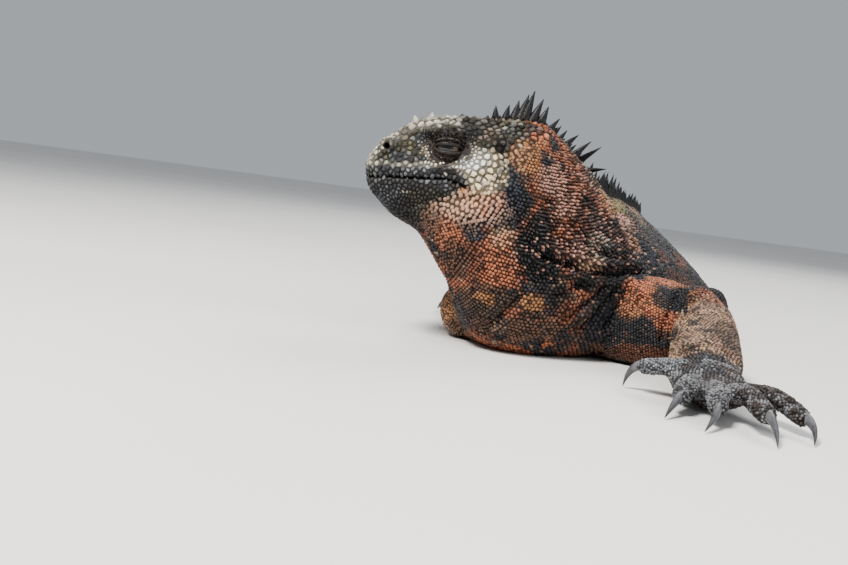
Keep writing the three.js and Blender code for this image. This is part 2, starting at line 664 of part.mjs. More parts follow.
function addPaw(name, palmRows, digits, clear, sizes) {
  const pieces = [limbSolid(palmRows, { steps: 3 })];
  digits.forEach((digit, index) => {
    const rows = digit.path.map((point, row) => {
      const radius = mix(sizes.root, sizes.end, row / (digit.path.length - 1));
      return [...point, radius, radius * 0.92];
    });
    pieces.push(limbSolid(rows, { sides: sizes.sides, steps: 4, ends: [1, 0] }));
    addNode(`${name}_claw_${index + 1}`, clawSolid(digit.path, digit.tip, sizes.claw), colours.claw, 0.45);
  });
  const whole = wasm.Manifold.union(pieces);
  addNode(name, clear.reduce((solid, tool) => solid.subtract(tool), whole), colours.hand);
}

// Each limb is cut back by the parts it grows from, grown by the gap
const grownLimb = {};
Object.entries(limbs).forEach(([name, limb]) => {
  const trunk = [grownBody.torso, grownBody.neck, grownBody.tail_base];
  const upper = limbSolid(limb.upper);
  const upperGrown = limbSolid(limb.upper, { grow: gap });
  const lower = limbSolid(limb.lower);
  const colour = name.endsWith("arm") ? colours.arm : colours.leg;
  addNode(`${name}_upper`, trunk.reduce((solid, tool) => solid.subtract(tool), upper), colour);
  addNode(`${name}_lower`, [...trunk, upperGrown].reduce((solid, tool) => solid.subtract(tool), lower), colour);
  grownLimb[name] = limbSolid(limb.lower, { grow: gap });
});

addPaw("left_hand", leftHand.palm, leftHand.digits, [grownLimb.left_arm], { root: 4.7, end: 4.1, claw: 2.4, sides: 8 });

paws.forEach((paw) => {
  const turn = THREE.MathUtils.degToRad(paw.heading);
  const forward = new THREE.Vector3(Math.cos(turn), Math.sin(turn), 0);
  const out = new THREE.Vector3(-Math.sin(turn), Math.cos(turn), 0).multiplyScalar(paw.side);
  const wrist = new THREE.Vector3(...paw.wrist);
  const at = (ahead, aside, z) => wrist.clone().addScaledVector(forward, ahead)
    .addScaledVector(out, aside).setZ(z).toArray();
  const { palm, lengths, spread, claw } = paw.pattern;
  const palmRows = [
    [...at(0, 0, paw.wrist[2]), paw.width * 0.85, 6.6],
    [...at(palm * 0.5, 0, 6.4), paw.width, 6],
    [...at(palm * 0.9, 0, 5.6), paw.width * 0.95, 5.2],
  ];
  const digits = lengths.map((length, index) => {
    const angle = THREE.MathUtils.degToRad(spread[index]);
    const aside = mix(-0.6, 0.6, index / 4) * paw.width;
    const place = (reach, z) => at(palm * 0.75 + reach * Math.cos(angle), aside + reach * Math.sin(angle), z);
    return {
      path: [place(0, 5.4), place(length * 0.55, 6.2), place(length, 4.4)],
      tip: place(length + claw, 0.7),
    };
  });
  const limb = { right_hand: "right_arm", left_foot: "left_leg", right_foot: "right_leg" }[paw.name];
  addPaw(paw.name, palmRows, digits, [grownLimb[limb]], { root: 3.9, end: 3, claw: 2.4, sides: 6 });
});

export default iguana;
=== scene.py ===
# A life-size marine iguana at rest: skin, scales, scutes, crest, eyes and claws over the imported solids.
import math
import bpy
import bmesh
import numpy as np
from mathutils import Matrix, Vector
from mathutils.bvhtree import BVHTree
from mathutils.kdtree import KDTree


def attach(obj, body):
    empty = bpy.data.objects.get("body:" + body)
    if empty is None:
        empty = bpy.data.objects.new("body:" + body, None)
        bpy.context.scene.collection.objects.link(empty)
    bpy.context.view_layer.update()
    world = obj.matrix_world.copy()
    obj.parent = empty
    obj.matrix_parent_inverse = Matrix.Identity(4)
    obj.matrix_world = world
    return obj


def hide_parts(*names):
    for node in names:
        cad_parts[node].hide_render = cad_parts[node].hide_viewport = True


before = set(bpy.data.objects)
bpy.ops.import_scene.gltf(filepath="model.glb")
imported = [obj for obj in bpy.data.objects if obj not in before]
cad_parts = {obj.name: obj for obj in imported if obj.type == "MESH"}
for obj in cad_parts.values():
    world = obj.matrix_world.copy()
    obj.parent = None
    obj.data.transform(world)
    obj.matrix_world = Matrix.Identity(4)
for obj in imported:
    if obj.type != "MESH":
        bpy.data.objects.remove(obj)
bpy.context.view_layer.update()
print("stage: frame loaded")

mm = 0.001              # shapes are worked out in millimetres and written to the meshes in metres
chance = np.random.default_rng(4127)


# Small tools
def unit(vectors):
    return vectors / np.maximum(np.linalg.norm(vectors, axis=-1, keepdims=True), 1e-9)


def dots(a, b):
    return np.sum(a * b, axis=-1)


def ramp(start, end, value):
    t = np.clip((value - start) / (end - start), 0, 1)
    return t * t * (3 - 2 * t)


def mix(a, b, t):
    return a + (b - a) * t


def linear(colour):
    c = np.asarray(colour, float) / 255
    return np.where(c <= 0.04045, c / 12.92, ((c + 0.055) / 1.055) ** 2.4)


def cellNoise(points, size, seed):          # smooth noise from 0 to 1, the same at each run
    place = points / size + seed * 7.31
    cell = np.floor(place).astype(np.int64)
    t = place - cell
    t = t * t * (3 - 2 * t)
    total = np.zeros(len(points))
    for dx in (0, 1):
        for dy in (0, 1):
            for dz in (0, 1):
                h = (cell[:, 0] + dx) * 73856093 ^ (cell[:, 1] + dy) * 19349663 ^ (cell[:, 2] + dz) * 83492791
                h = (h ^ (seed * 668265263)) & 0xFFFFFFFF
                h = ((h ^ (h >> 13)) * 1274126177) & 0xFFFFFFFF
                h = (h ^ (h >> 16)) & 0xFFFF
                weight = (t[:, 0] if dx else 1 - t[:, 0]) * (t[:, 1] if dy else 1 - t[:, 1])
                total += weight * (t[:, 2] if dz else 1 - t[:, 2]) * h / 65535
    return total


def layeredNoise(points, size, seed, layers=3):
    total, weight, share = 0, 0, 1.0
    for layer in range(layers):
        total = total + share * cellNoise(points, size / 2 ** layer, seed + layer * 11)
        weight += share
        share *= 0.55
    return total / weight


def meshObject(name, points, faces, smooth=True):
    mesh = bpy.data.meshes.new(name)
    mesh.from_pydata((np.asarray(points) * mm).tolist(), [], [list(map(int, face)) for face in faces])
    mesh.update()
    mesh.shade_smooth() if smooth else mesh.shade_flat()
    piece = bpy.data.objects.new(name, mesh)
    bpy.context.scene.collection.objects.link(piece)
    return piece


def putAttribute(mesh, name, kind, domain, values):
    layer = mesh.attributes.get(name) or mesh.attributes.new(name, kind, domain)
    key = {"FLOAT": "value", "FLOAT2": "vector", "FLOAT_VECTOR": "vector", "FLOAT_COLOR": "color"}[kind]
    layer.data.foreach_set(key, np.asarray(values, np.float32).ravel())


def withAlpha(colours):
    return np.concatenate([colours, np.ones((len(colours), 1))], axis=1)


def evaluatedMesh(piece):
    depsgraph = bpy.context.evaluated_depsgraph_get()
    mesh = bpy.data.meshes.new_from_object(piece.evaluated_get(depsgraph), preserve_all_data_layers=True,
                                           depsgraph=depsgraph)
    piece.modifiers.clear()
    old = piece.data
    piece.data = mesh
    bpy.data.meshes.remove(old)
    return mesh


def pointsOf(mesh):
    flat = np.empty(len(mesh.vertices) * 3, np.float32)
    mesh.vertices.foreach_get("co", flat)
    return flat.reshape(-1, 3).astype(float) / mm


def normalsOf(mesh):
    flat = np.empty(len(mesh.vertices) * 3, np.float32)
    mesh.vertex_normals.foreach_get("vector", flat)
    return flat.reshape(-1, 3).astype(float)


def turnFacesOut(mesh):
    bm = bmesh.new()
    bm.from_mesh(mesh)
    bmesh.ops.recalc_face_normals(bm, faces=bm.faces)
    bm.to_mesh(mesh)
    bm.free()


def searchTree(points, numbers=None):        # finds the nearest of the points, or of the numbered ones
    numbers = range(len(points)) if numbers is None else numbers
    tree = KDTree(len(numbers))
    for index in numbers:
        tree.insert(points[index], index)
    tree.balance()
    return tree


# Camera: it stands low in front of the animal's left hand, as the photographer did
cameraView = {
    "place": (37.9, -418.3, 66.2), "right": (0.955, 0.265, 0.130), "up": (-0.153, 0.066, 0.986),
    "forward": (-0.253, 0.962, -0.104), "lens": 38.21, "sensor": 36.0,
}
camera = bpy.data.objects.new("viewCamera", bpy.data.cameras.new("viewCamera"))
bpy.context.scene.collection.objects.link(camera)
right = Vector(cameraView["right"]).normalized()
forward = (Vector(cameraView["forward"]) - right * right.dot(Vector(cameraView["forward"]))).normalized()
upward = right.cross(forward)
turn = Matrix((right, upward, -forward)).transposed().to_4x4()
camera.matrix_world = Matrix.Translation(Vector(cameraView["place"]) * mm) @ turn
camera.data.lens = cameraView["lens"]
camera.data.sensor_width = cameraView["sensor"]
camera.data.clip_start = 0.01
camera.data.clip_end = 60
bpy.context.scene.camera = camera
print("stage: camera set")

# Head line: s runs forward from the ear, side is to the animal's left, z is the height over the floor
headLine = {"origin": np.array([-28.0, -35.0, 0.0]), "yaw": math.radians(75.3)}
headLeft = np.array([math.cos(headLine["yaw"]), -math.sin(headLine["yaw"]), 0])
headForward = np.array([-math.sin(headLine["yaw"]), -math.cos(headLine["yaw"]), 0])
mouth = {"height": 69.2}
eye = {"s": 30.8, "z": 83.4, "sunk": 3.9, "radius": 5.6}
ear = {"s": 8.6, "z": 71}
nostril = {"s": 56.4, "z": 81.4}

# Head, front to back: top s and z, bottom s and z, half width, boxiness of the sides
headStations = np.array([
    [64.7, 72.6, 63.6, 67.4, 5.2, 0.8], [64.0, 75.2, 62.6, 63.8, 8.6, 0.75],
    [61.8, 79.8, 60.2, 61.0, 11.2, 0.72], [57.8, 84.2, 56.8, 57.6, 13.3, 0.7],
    [52.3, 89.0, 51.6, 53.2, 15.0, 0.7], [46.3, 92.8, 47.0, 51.0, 16.7, 0.72],
    [40.0, 95.6, 43.0, 49.4, 18.4, 0.74], [32.6, 96.9, 39.4, 47.8, 20.3, 0.76],
    [25.0, 97.5, 36.4, 44.2, 22.0, 0.8], [16.6, 98.0, 33.4, 39.8, 23.4, 0.84],
    [8.0, 98.8, 30.2, 35.6, 24.4, 0.88], [-0.6, 99.4, 27.2, 31.8, 25.0, 0.92],
    [-9.6, 98.9, 24.0, 28.0, 25.6, 0.96],
])

# Neck, trunk and tail: top point, bottom point, yaw, half width, level of the widest place,
# roof shape of the upper side, steepness of it, roundness below
bodyStations = np.array([
    [-18.7, -32.6, 98.9, -51.2, -41.1, 28.0, 75.3, 25.6, 0.46, 0.96, 1.0, 0.96],
    [-15.0, -19.5, 94.6, -45.0, -38.2, 14.5, 60.0, 28.5, 0.44, 1.0, 1.0, 0.9],
    [-11.2, -7.0, 89.6, -38.0, -32.0, 3.5, 45.0, 32.5, 0.42, 1.1, 1.05, 0.8],
    [-8.2, 6.0, 85.0, -29.0, -22.5, -1.5, 32.0, 37.0, 0.4, 1.2, 1.1, 0.7],
    [-6.2, 20.0, 79.4, -18.0, -7.0, -2.5, 23.0, 42.0, 0.38, 1.35, 1.15, 0.62],
    [-2.8, 35.0, 76.2, -7.0, 19.0, -2.5, 17.5, 46.5, 0.36, 1.5, 1.2, 0.58],
    [1.8, 51.0, 75.0, 0.0, 43.0, -2.5, 15.0, 50.5, 0.35, 1.65, 1.25, 0.56],
    [7.4, 71.0, 74.0, 6.8, 67.0, -2.5, 13.0, 53.5, 0.34, 1.75, 1.3, 0.55],
    [14.0, 94.0, 71.8, 12.8, 92.0, -2.5, 9.0, 54.5, 0.34, 2.1, 1.4, 0.55],
    [18.0, 119.0, 69.0, 16.6, 118.0, -2.5, 3.0, 54.0, 0.34, 2.35, 1.5, 0.55],
    [18.2, 145.0, 63.0, 17.4, 145.0, -2.5, -5.0, 52.0, 0.34, 2.2, 1.45, 0.56],
    [14.2, 172.0, 58.8, 14.2, 172.0, -2.5, -11.0, 47.5, 0.35, 1.9, 1.35, 0.58],
    [7.8, 198.0, 56.0, 7.8, 198.0, -2.5, -14.0, 41.5, 0.36, 1.5, 1.2, 0.62],
    [0.8, 222.0, 52.6, 0.8, 222.0, -2.5, -15.0, 34.0, 0.38, 1.3, 1.15, 0.66],
    [-5.6, 246.0, 49.0, -5.6, 246.0, -2.2, -14.0, 26.5, 0.4, 1.2, 1.1, 0.7],
    [-11.4, 270.0, 44.2, -11.4, 270.0, -1.9, -12.0, 20.0, 0.42, 1.15, 1.1, 0.74],
    [-16.0, 295.0, 40.0, -16.0, 295.0, -1.6, -8.0, 16.2, 0.43, 1.1, 1.05, 0.78],
    [-19.0, 325.0, 36.4, -19.0, 325.0, -1.4, -3.0, 13.6, 0.44, 1.1, 1.0, 0.8],
    [-19.4, 357.0, 33.4, -19.4, 357.0, -1.3, 4.0, 11.8, 0.44, 1.1, 1.0, 0.82],
    [-16.0, 390.0, 30.6, -16.0, 390.0, -1.2, 10.0, 10.4, 0.45, 1.1, 1.0, 0.84],
    [-8.6, 423.0, 28.0, -8.6, 423.0, -1.1, 16.0, 9.2, 0.45, 1.1, 1.0, 0.84],
    [2.6, 455.0, 25.4, 2.6, 455.0, -1.0, 21.0, 8.1, 0.45, 1.1, 1.0, 0.84],
    [16.0, 486.0, 22.6, 16.0, 486.0, -1.0, 24.0, 7.1, 0.46, 1.1, 1.0, 0.86],
    [30.6, 517.0, 19.8, 30.6, 517.0, -0.9, 24.0, 6.1, 0.46, 1.1, 1.0, 0.86],
    [44.4, 549.0, 16.9, 44.4, 549.0, -0.8, 21.0, 5.2, 0.47, 1.1, 1.0, 0.88],
    [56.0, 582.0, 13.9, 56.0, 582.0, -0.7, 17.0, 4.3, 0.48, 1.05, 1.0, 0.9],
    [65.0, 616.0, 10.8, 65.0, 616.0, -0.6, 12.0, 3.4, 0.5, 1.0, 1.0, 0.92],
    [71.0, 650.0, 7.6, 71.0, 650.0, -0.5, 7.0, 2.5, 0.5, 1.0, 1.0, 0.95],
    [73.6, 684.0, 4.0, 73.6, 684.0, -0.4, 3.0, 1.5, 0.5, 1.0, 1.0, 1.0],
])

# Limbs: centre points of each length with half width and half height
limbRows = {
    "left_arm_upper": [[2, 4, 20, 15, 17], [22, -5, 19.5, 15.5, 19.5], [40, -9, 21.5, 15, 20], [54, -10, 24.5, 12.5, 15]],
    "left_arm_lower": [[58, -14, 23.6, 12.5, 12.5], [58.6, -34, 18.5, 13.8, 12.4], [59, -54, 13, 14, 11], [59, -62, 11.4, 13, 10]],
    "right_arm_upper": [[-14, 8, 20, 13, 17], [-30, -3, 17, 13, 15.5], [-42, -12, 14, 12, 13.5]],
    "right_arm_lower": [[-47.5, -15, 12.6, 11, 12.6], [-53.5, 6, 11.6, 10, 11], [-57.5, 28, 9.6, 9, 8.5]],
    "left_leg_upper": [[14, 214, 22, 15, 16], [36, 201, 19, 15, 16.5], [57, 183, 16.5, 13, 14.5]],
    "left_leg_lower": [[68.5, 173, 15, 11, 13.5], [71.5, 192, 12, 10, 11], [73, 212, 8.5, 8.5, 8]],
    "right_leg_upper": [[-10, 216, 22, 15, 16], [-28, 204, 19, 15, 16.5], [-44, 184, 15.5, 13, 14]],
    "right_leg_lower": [[-54, 173, 13.5, 11, 13], [-61, 191, 11.5, 10, 11], [-66, 210, 8.5, 8.5, 8]],
}

# Paws: palm rows as for a limb, then each digit's path and claw tip
leftHand = {
    "palm": [[59, -66, 10.4, 13, 9], [60, -76, 8.4, 14.5, 7.6], [61, -84, 7, 12.5, 6.2]],
    "digits": [
        {"path": [[56, -73, 9.5], [47, -73.5, 12.2], [36.4, -71, 10.4]], "tip": [29.4, -66.9, 0.7]},
        {"path": [[55, -80, 8], [52.5, -90, 9.5], [50, -99, 6.6]], "tip": [45.6, -110.6, 0.7]},
        {"path": [[60, -83, 8], [61.5, -97, 10], [62, -107, 6.8]], "tip": [58.2, -120, 0.7]},
        {"path": [[66, -82, 8], [72, -97, 10.5], [77, -109, 7.6]], "tip": [80.1, -123.1, 0.7]},
        {"path": [[69, -77, 8], [81, -88, 10], [90, -97.5, 6.6]], "tip": [92.6, -110.5, 0.7]},
    ],
    "root": 4.7, "end": 4.1, "claw": 2.4,
}
handPattern = {"palm": 14, "lengths": [15, 21, 25, 26, 19], "spread": [-26, -12, 0, 11, 22], "claw": 10}
footPattern = {"palm": 22, "lengths": [17, 25, 34, 42, 26], "spread": [-34, -16, -2, 10, 30], "claw": 12}
hiddenPaws = {
    "right_hand": {"pattern": handPattern, "wrist": [-60, 34, 8], "heading": 96, "width": 9, "side": -1},
    "left_foot": {"pattern": footPattern, "wrist": [73.5, 218, 7.4], "heading": 99, "width": 10, "side": -1},
    "right_foot": {"pattern": footPattern, "wrist": [-67.4, 216, 7.4], "heading": 93, "width": 10.5, "side": 1},
}


def rowsAt(table, places, loose=False):     # a smooth curve through the rows of a table
    table = np.asarray(table, float)
    places = np.atleast_1d(places)
    last = len(table) - 1
    index = np.clip(np.floor(places).astype(int), 0, last - 1)
    if loose:
        table = np.concatenate([[2 * table[0] - table[1]], table, [2 * table[-1] - table[-2]]])
    else:
        table = np.concatenate([table[:1], table, table[-1:]])
    t = (places - index)[:, None]
    p0, p1, p2, p3 = (table[index + step] for step in range(4))
    bend = 2 * p0 - 5 * p1 + 4 * p2 - p3 + t * (3 * p1 - p0 - 3 * p2 + p3)
    return p1 + 0.5 * t * (p2 - p0 + t * bend)


def sectionPoint(top, bottom, left, half, widest, roof, steep, belly, angle, grow):
    axis = top - bottom
    length = np.linalg.norm(axis, axis=1)
    axis = axis / length[:, None]
    rise, reach = np.sin(angle), np.cos(angle)
    upper = rise >= 0
    tall = np.where(upper, length * (1 - widest), length * widest) + grow
    height = np.sign(rise) * tall * np.abs(rise) ** np.where(upper, steep, 1) + length * widest
    width = np.sign(reach) * (half + grow) * np.abs(reach) ** np.where(upper, roof, belly)
    return bottom + axis * height[:, None] + left * width[:, None]


def spread(place, angle):
    shape = np.broadcast(place, angle).shape
    return shape, np.broadcast_to(place, shape).ravel(), np.broadcast_to(angle, shape).ravel()


def bodySurface(place, angle, grow=0.0):
    shape, place, angle = spread(place, angle)
    row = rowsAt(bodyStations, place)
    yaw = np.radians(row[:, 6])
    left = np.stack([np.cos(yaw), -np.sin(yaw), 0 * yaw], axis=1)
    return sectionPoint(row[:, :3], row[:, 3:6], left, *row[:, 7:].T, angle, grow).reshape(shape + (3,))


def headPoint(s, side, z):
    s, side, z = np.broadcast_arrays(np.asarray(s, float), side, z)
    flat = headLine["origin"] + s[..., None] * headForward + side[..., None] * headLeft
    return np.concatenate([flat[..., :2], z[..., None]], axis=-1)


def headPlace(points):                       # s, side and z of points
    away = points - headLine["origin"]
    return dots(away, headForward), dots(away, headLeft), points[..., 2]


def headSurface(place, angle, grow=0.0):
    shape, place, angle = spread(place, angle)
    row = rowsAt(headStations, place)
    top, bottom = headPoint(row[:, 0], 0, row[:, 1]), headPoint(row[:, 2], 0, row[:, 3])
    left = np.broadcast_to(headLeft, top.shape)
    return sectionPoint(top, bottom, left, row[:, 4], 0.46, row[:, 5], 1, row[:, 5], angle, grow).reshape(shape + (3,))


def headHalfWidth(s, z):
    low, high, half = 0.0, 12.0, 0.0
    for _ in range(24):
        place = (low + high) / 2
        row = rowsAt(headStations, place)[0]
        level = (z - row[3]) / (row[1] - row[3])
        if mix(row[2], row[0], level) > s:
            low = place
        else:
            high = place
        rise = (level - 0.46) / 0.54 if level >= 0.46 else (0.46 - level) / 0.46
        half = row[4] * math.sqrt(max(1 - min(rise, 1) ** 2, 0)) ** row[5]
    return half


def headTop(s):
    low, high = 0.0, 12.0
    for _ in range(24):
        place = (low + high) / 2
        low, high = (place, high) if rowsAt(headStations, place)[0][0] > s else (low, place)
    return rowsAt(headStations, low)[0][1]


def limbSurface(rows, place, angle, grow=0.0):      # place from 0 to 1, and past both ends round the cap
    shape, place, angle = spread(place, angle)
    rows = np.asarray(rows, float)
    last = len(rows) - 1
    inside = np.clip(place, 0, 1)
    row = rowsAt(rows, inside * last, loose=True)
    step = 1e-3
    tangent = unit(rowsAt(rows, np.clip(inside + step, 0, 1) * last, True)[:, :3]
                   - rowsAt(rows, np.clip(inside - step, 0, 1) * last, True)[:, :3])
    across = unit(np.cross(tangent, [0, 0, 1.0]))
    over = np.cross(across, tangent)
    past = np.clip(np.abs(place - inside) / 0.25, 0, 1) * math.pi / 2
    bulge = np.minimum(row[:, 3], row[:, 4]) + grow
    centre = row[:, :3] + tangent * (np.sign(place - inside) * bulge * np.sin(past))[:, None]
    size = np.cos(past)
    return (centre + across * ((row[:, 3] + grow) * size * np.cos(angle))[:, None]
            + over * ((row[:, 4] + grow) * size * np.sin(angle))[:, None]).reshape(shape + (3,))


def pawParts(name):
    if name == "left_hand":
        return leftHand
    paw = hiddenPaws[name]
    pattern = paw["pattern"]
    heading = math.radians(paw["heading"])
    ahead = np.array([math.cos(heading), math.sin(heading), 0])
    out = np.array([-math.sin(heading), math.cos(heading), 0]) * paw["side"]
    wrist = np.array(paw["wrist"], float)

    def at(reach, aside, z):
        point = wrist + ahead * reach + out * aside
        return [point[0], point[1], z]
    palm, width = pattern["palm"], paw["width"]
    palmRows = [at(0, 0, wrist[2]) + [width * 0.85, 6.6], at(palm * 0.5, 0, 6.4) + [width, 6],
                at(palm * 0.9, 0, 5.6) + [width * 0.95, 5.2]]
    digits = []
    for index, length in enumerate(pattern["lengths"]):
        angle = math.radians(pattern["spread"][index])
        aside = mix(-0.6, 0.6, index / 4) * width

        def place(reach, z, angle=angle, aside=aside):
            return at(palm * 0.75 + reach * math.cos(angle), aside + reach * math.sin(angle), z)
        digits.append({"path": [place(0, 5.4), place(length * 0.55, 6.2), place(length, 4.4)],
                       "tip": place(length + pattern["claw"], 0.7)})
    return {"palm": palmRows, "digits": digits, "root": 3.9, "end": 3.0, "claw": 2.4}


paws = {name: pawParts(name) for name in ("left_hand", "right_hand", "left_foot", "right_foot")}
digitRows = {}
for name, paw in paws.items():
    limbRows[name + "_palm"] = paw["palm"]
    for index, digit in enumerate(paw["digits"]):
        radii = [paw["root"], mix(paw["root"], paw["end"], 0.5), paw["end"]]
        digitRows[f"{name}_digit_{index + 1}"] = [point + [radius, radius * 0.92]
                                                  for point, radius in zip(digit["path"], radii)]


# Surfaces of the flesh: each gives points for a place along it and an angle round it, and has its own
# rectangle on the unwrap (left, bottom, width, height)
surfaces = {
    "body": {"point": bodySurface, "from": 0.0, "to": 14.0, "sheet": (0.005, 0.005, 0.62, 0.62)},
    "tail": {"point": bodySurface, "from": 14.0, "to": 28.0, "sheet": (0.005, 0.635, 0.21, 0.36)},
    "head": {"point": headSurface, "from": 0.0, "to": 12.0, "sheet": (0.64, 0.005, 0.34, 0.18)},
}
limbNames = [name for name in limbRows if not name.endswith("palm")]
for index, name in enumerate(limbNames):
    left, bottom = 0.64 + 0.175 * (index % 2), 0.195 + 0.11 * (index // 2)
    surfaces[name] = {"point": lambda place, angle, grow=0.0, rows=limbRows[name]: limbSurface(rows, place, angle, grow),
                      "from": -0.25, "to": 1.25, "sheet": (left, bottom, 0.165, 0.1)}
smallNames = [name for name in limbRows if name.endswith("palm")] + list(digitRows)
for index, name in enumerate(smallNames):
    rows = limbRows.get(name) or digitRows[name]
    left, bottom = 0.23 + 0.095 * (index % 8), 0.645 + 0.118 * (index // 8)
    surfaces[name] = {"point": lambda place, angle, grow=0.0, rows=rows: limbSurface(rows, place, angle, grow),
                      "from": -0.25, "to": 1.25, "sheet": (left, bottom, 0.085, 0.108)}


# Skin: closed forms are fused, remeshed and smoothed, and then the face and folds are worked into it
skinForm = {
    "under": 0.55,           # how far the skin lies inside the solids, filled by the scales
    "voxel": 1.66, "smoothTurns": 5, "jointTurns": 16, "faceFrom": 4.0,
}


def ringMesh(rings):                         # closed forms from rings of points, with fans at both ends
    count, sides = rings.shape[:2]
    points = rings.reshape(-1, 3)
    faces = []
    for ring in range(count - 1):
        a = ring * sides + np.arange(sides)
        b = ring * sides + (np.arange(sides) + 1) % sides
        faces += np.stack([a, b, b + sides, a + sides], axis=1).tolist()
    ends = np.array([rings[0].mean(axis=0), rings[-1].mean(axis=0)])
    first, last = len(points), len(points) + 1
    for corner in range(sides):
        following = (corner + 1) % sides
        faces.append([first, following, corner])
        faces.append([last, (count - 1) * sides + corner, (count - 1) * sides + following])
    return np.concatenate([points, ends]), faces


def loftOf(surface, places, sides, grow):
    angles = np.linspace(0, 2 * math.pi, sides, endpoint=False)
    return ringMesh(surface(np.asarray(places)[:, None], angles[None, :], grow))


def ballMesh(centre, axes, radii, rings=12, sides=20):
    tilt = np.linspace(0.12, math.pi - 0.12, rings)
    turnRound = np.linspace(0, 2 * math.pi, sides, endpoint=False)
    local = np.stack([np.cos(tilt)[:, None] + 0 * turnRound[None], np.sin(tilt)[:, None] * np.cos(turnRound)[None],
                      np.sin(tilt)[:, None] * np.sin(turnRound)[None]], axis=-1) * np.asarray(radii)
    return ringMesh(centre + local @ np.asarray(axes))


headAxes = np.array([headForward, headLeft, [0, 0, 1.0]])
capPlaces = np.concatenate([np.linspace(-0.24, 0, 6)[:-1], np.linspace(0, 1, 22), np.linspace(1, 1.24, 6)[1:]])
under = -skinForm["under"]
forms = [
    loftOf(headSurface, np.linspace(0, 12, 70), 96, under),
    loftOf(bodySurface, np.linspace(0, 28, 300), 96, under),
]
neckJoin = np.array([headSurface(place, np.linspace(0, 2 * math.pi, 96, endpoint=False), under - 1.5)
                     for place in (11.2, 11.6, 12.0)] + [bodySurface(place, np.linspace(0, 2 * math.pi, 96, endpoint=False), under - 1.5)
                                                         for place in (0.1, 0.3, 0.5)])
forms.append(ringMesh(neckJoin))
for rows in list(limbRows.values()) + list(digitRows.values()):
    forms.append(loftOf(lambda place, angle, grow, rows=rows: limbSurface(rows, place, angle, grow),
                        capPlaces, 40, under * 0.8))
eyeCentres = {}
for word, side in (("left", 1), ("right", -1)):
    eyeSide = side * (headHalfWidth(eye["s"], eye["z"]) - eye["sunk"])
    eyeCentres[word] = headPoint(eye["s"], eyeSide, eye["z"])
    forms.append(ballMesh(headPoint(eye["s"] + 1.5, eyeSide - side * 0.8, eye["z"] + 6.6), headAxes, (11, 5.2, 2.8)))
    noseSide = side * (headHalfWidth(nostril["s"], nostril["z"]) - 0.8)
    forms.append(ballMesh(headPoint(nostril["s"], noseSide, nostril["z"]), headAxes, (3.4, 2.0, 3.4)))
    for rise, thick in ((3.3, 2.4), (-2.7, 1.9)):
        z = mouth["height"] + rise
        lip = [[*headPoint(s, side * (headHalfWidth(s, z) - thick * 0.6), z), thick * 0.8, thick]
               for s in (28, 37, 46, 54, 60.4)]
        forms.append(loftOf(lambda place, angle, grow, rows=lip: limbSurface(rows, place, angle, grow), capPlaces, 16, 0))

allPoints, allFaces = [], []
start = 0
for points, faces in forms:
    allPoints.append(points)
    allFaces += [[corner + start for corner in face] for face in faces]
    start += len(points)
skin = meshObject("skin", np.concatenate(allPoints), allFaces)
turnFacesOut(skin.data)
remesh = skin.modifiers.new("fuse", "REMESH")
remesh.mode = "VOXEL"
remesh.voxel_size = skinForm["voxel"] * mm
remesh.adaptivity = 0
skinMesh = evaluatedMesh(skin)
print("stage: flesh fused,", len(skinMesh.polygons), "faces")


def relax(mesh, turns, share):               # share: how strongly each point takes part
    edges = np.empty(len(mesh.edges) * 2, np.int32)
    mesh.edges.foreach_get("vertices", edges)
    edges = edges.reshape(-1, 2)
    points = pointsOf(mesh)
    count = len(points)
    degree = np.maximum(np.bincount(edges.ravel(), minlength=count), 1)
    for turnIndex in range(turns):
        middle = np.stack([np.bincount(edges[:, 0], points[edges[:, 1], k], count)
                           + np.bincount(edges[:, 1], points[edges[:, 0], k], count) for k in range(3)], axis=1)
        pull = 0.55 if turnIndex % 2 == 0 else -0.3      # a push back keeps the volume
        points = points + (middle / degree[:, None] - points) * pull * share[:, None]
    mesh.vertices.foreach_set("co", (points * mm).astype(np.float32).ravel())
    mesh.update()
    return points


skinPoints = pointsOf(skinMesh)
jointPlaces = [((30, 2, 22), 24), ((-24, 2, 18), 22), ((26, 206, 22), 26), ((-18, 208, 22), 24), ((56, -12, 24), 15),
               ((-45, -14, 13), 14), ((63, 178, 15), 14), ((-49, 179, 14), 14), ((59, -66, 11), 12),
               ((-60, 34, 8), 10), ((73, 216, 8), 10), ((-67, 214, 8), 10)]
atJoint = np.zeros(len(skinPoints))
for centre, radius in jointPlaces:
    atJoint = np.maximum(atJoint, ramp(1.25, 0.7, np.linalg.norm(skinPoints - centre, axis=1) / radius))
relax(skinMesh, skinForm["smoothTurns"] * 2, np.ones(len(skinPoints)))
skinPoints = relax(skinMesh, skinForm["jointTurns"] * 2, atJoint)


def noseGapOf(s, z):                         # how far a place on the side of the head is from the nostril
    return np.hypot(s - nostril["s"], z - nostril["z"])


def crownHeight(s):                          # how high the head's top line runs
    return np.interp(s, [-10, 0, 20, 40, 50, 60, 66], [99, 99, 97.5, 95, 90, 81, 73])


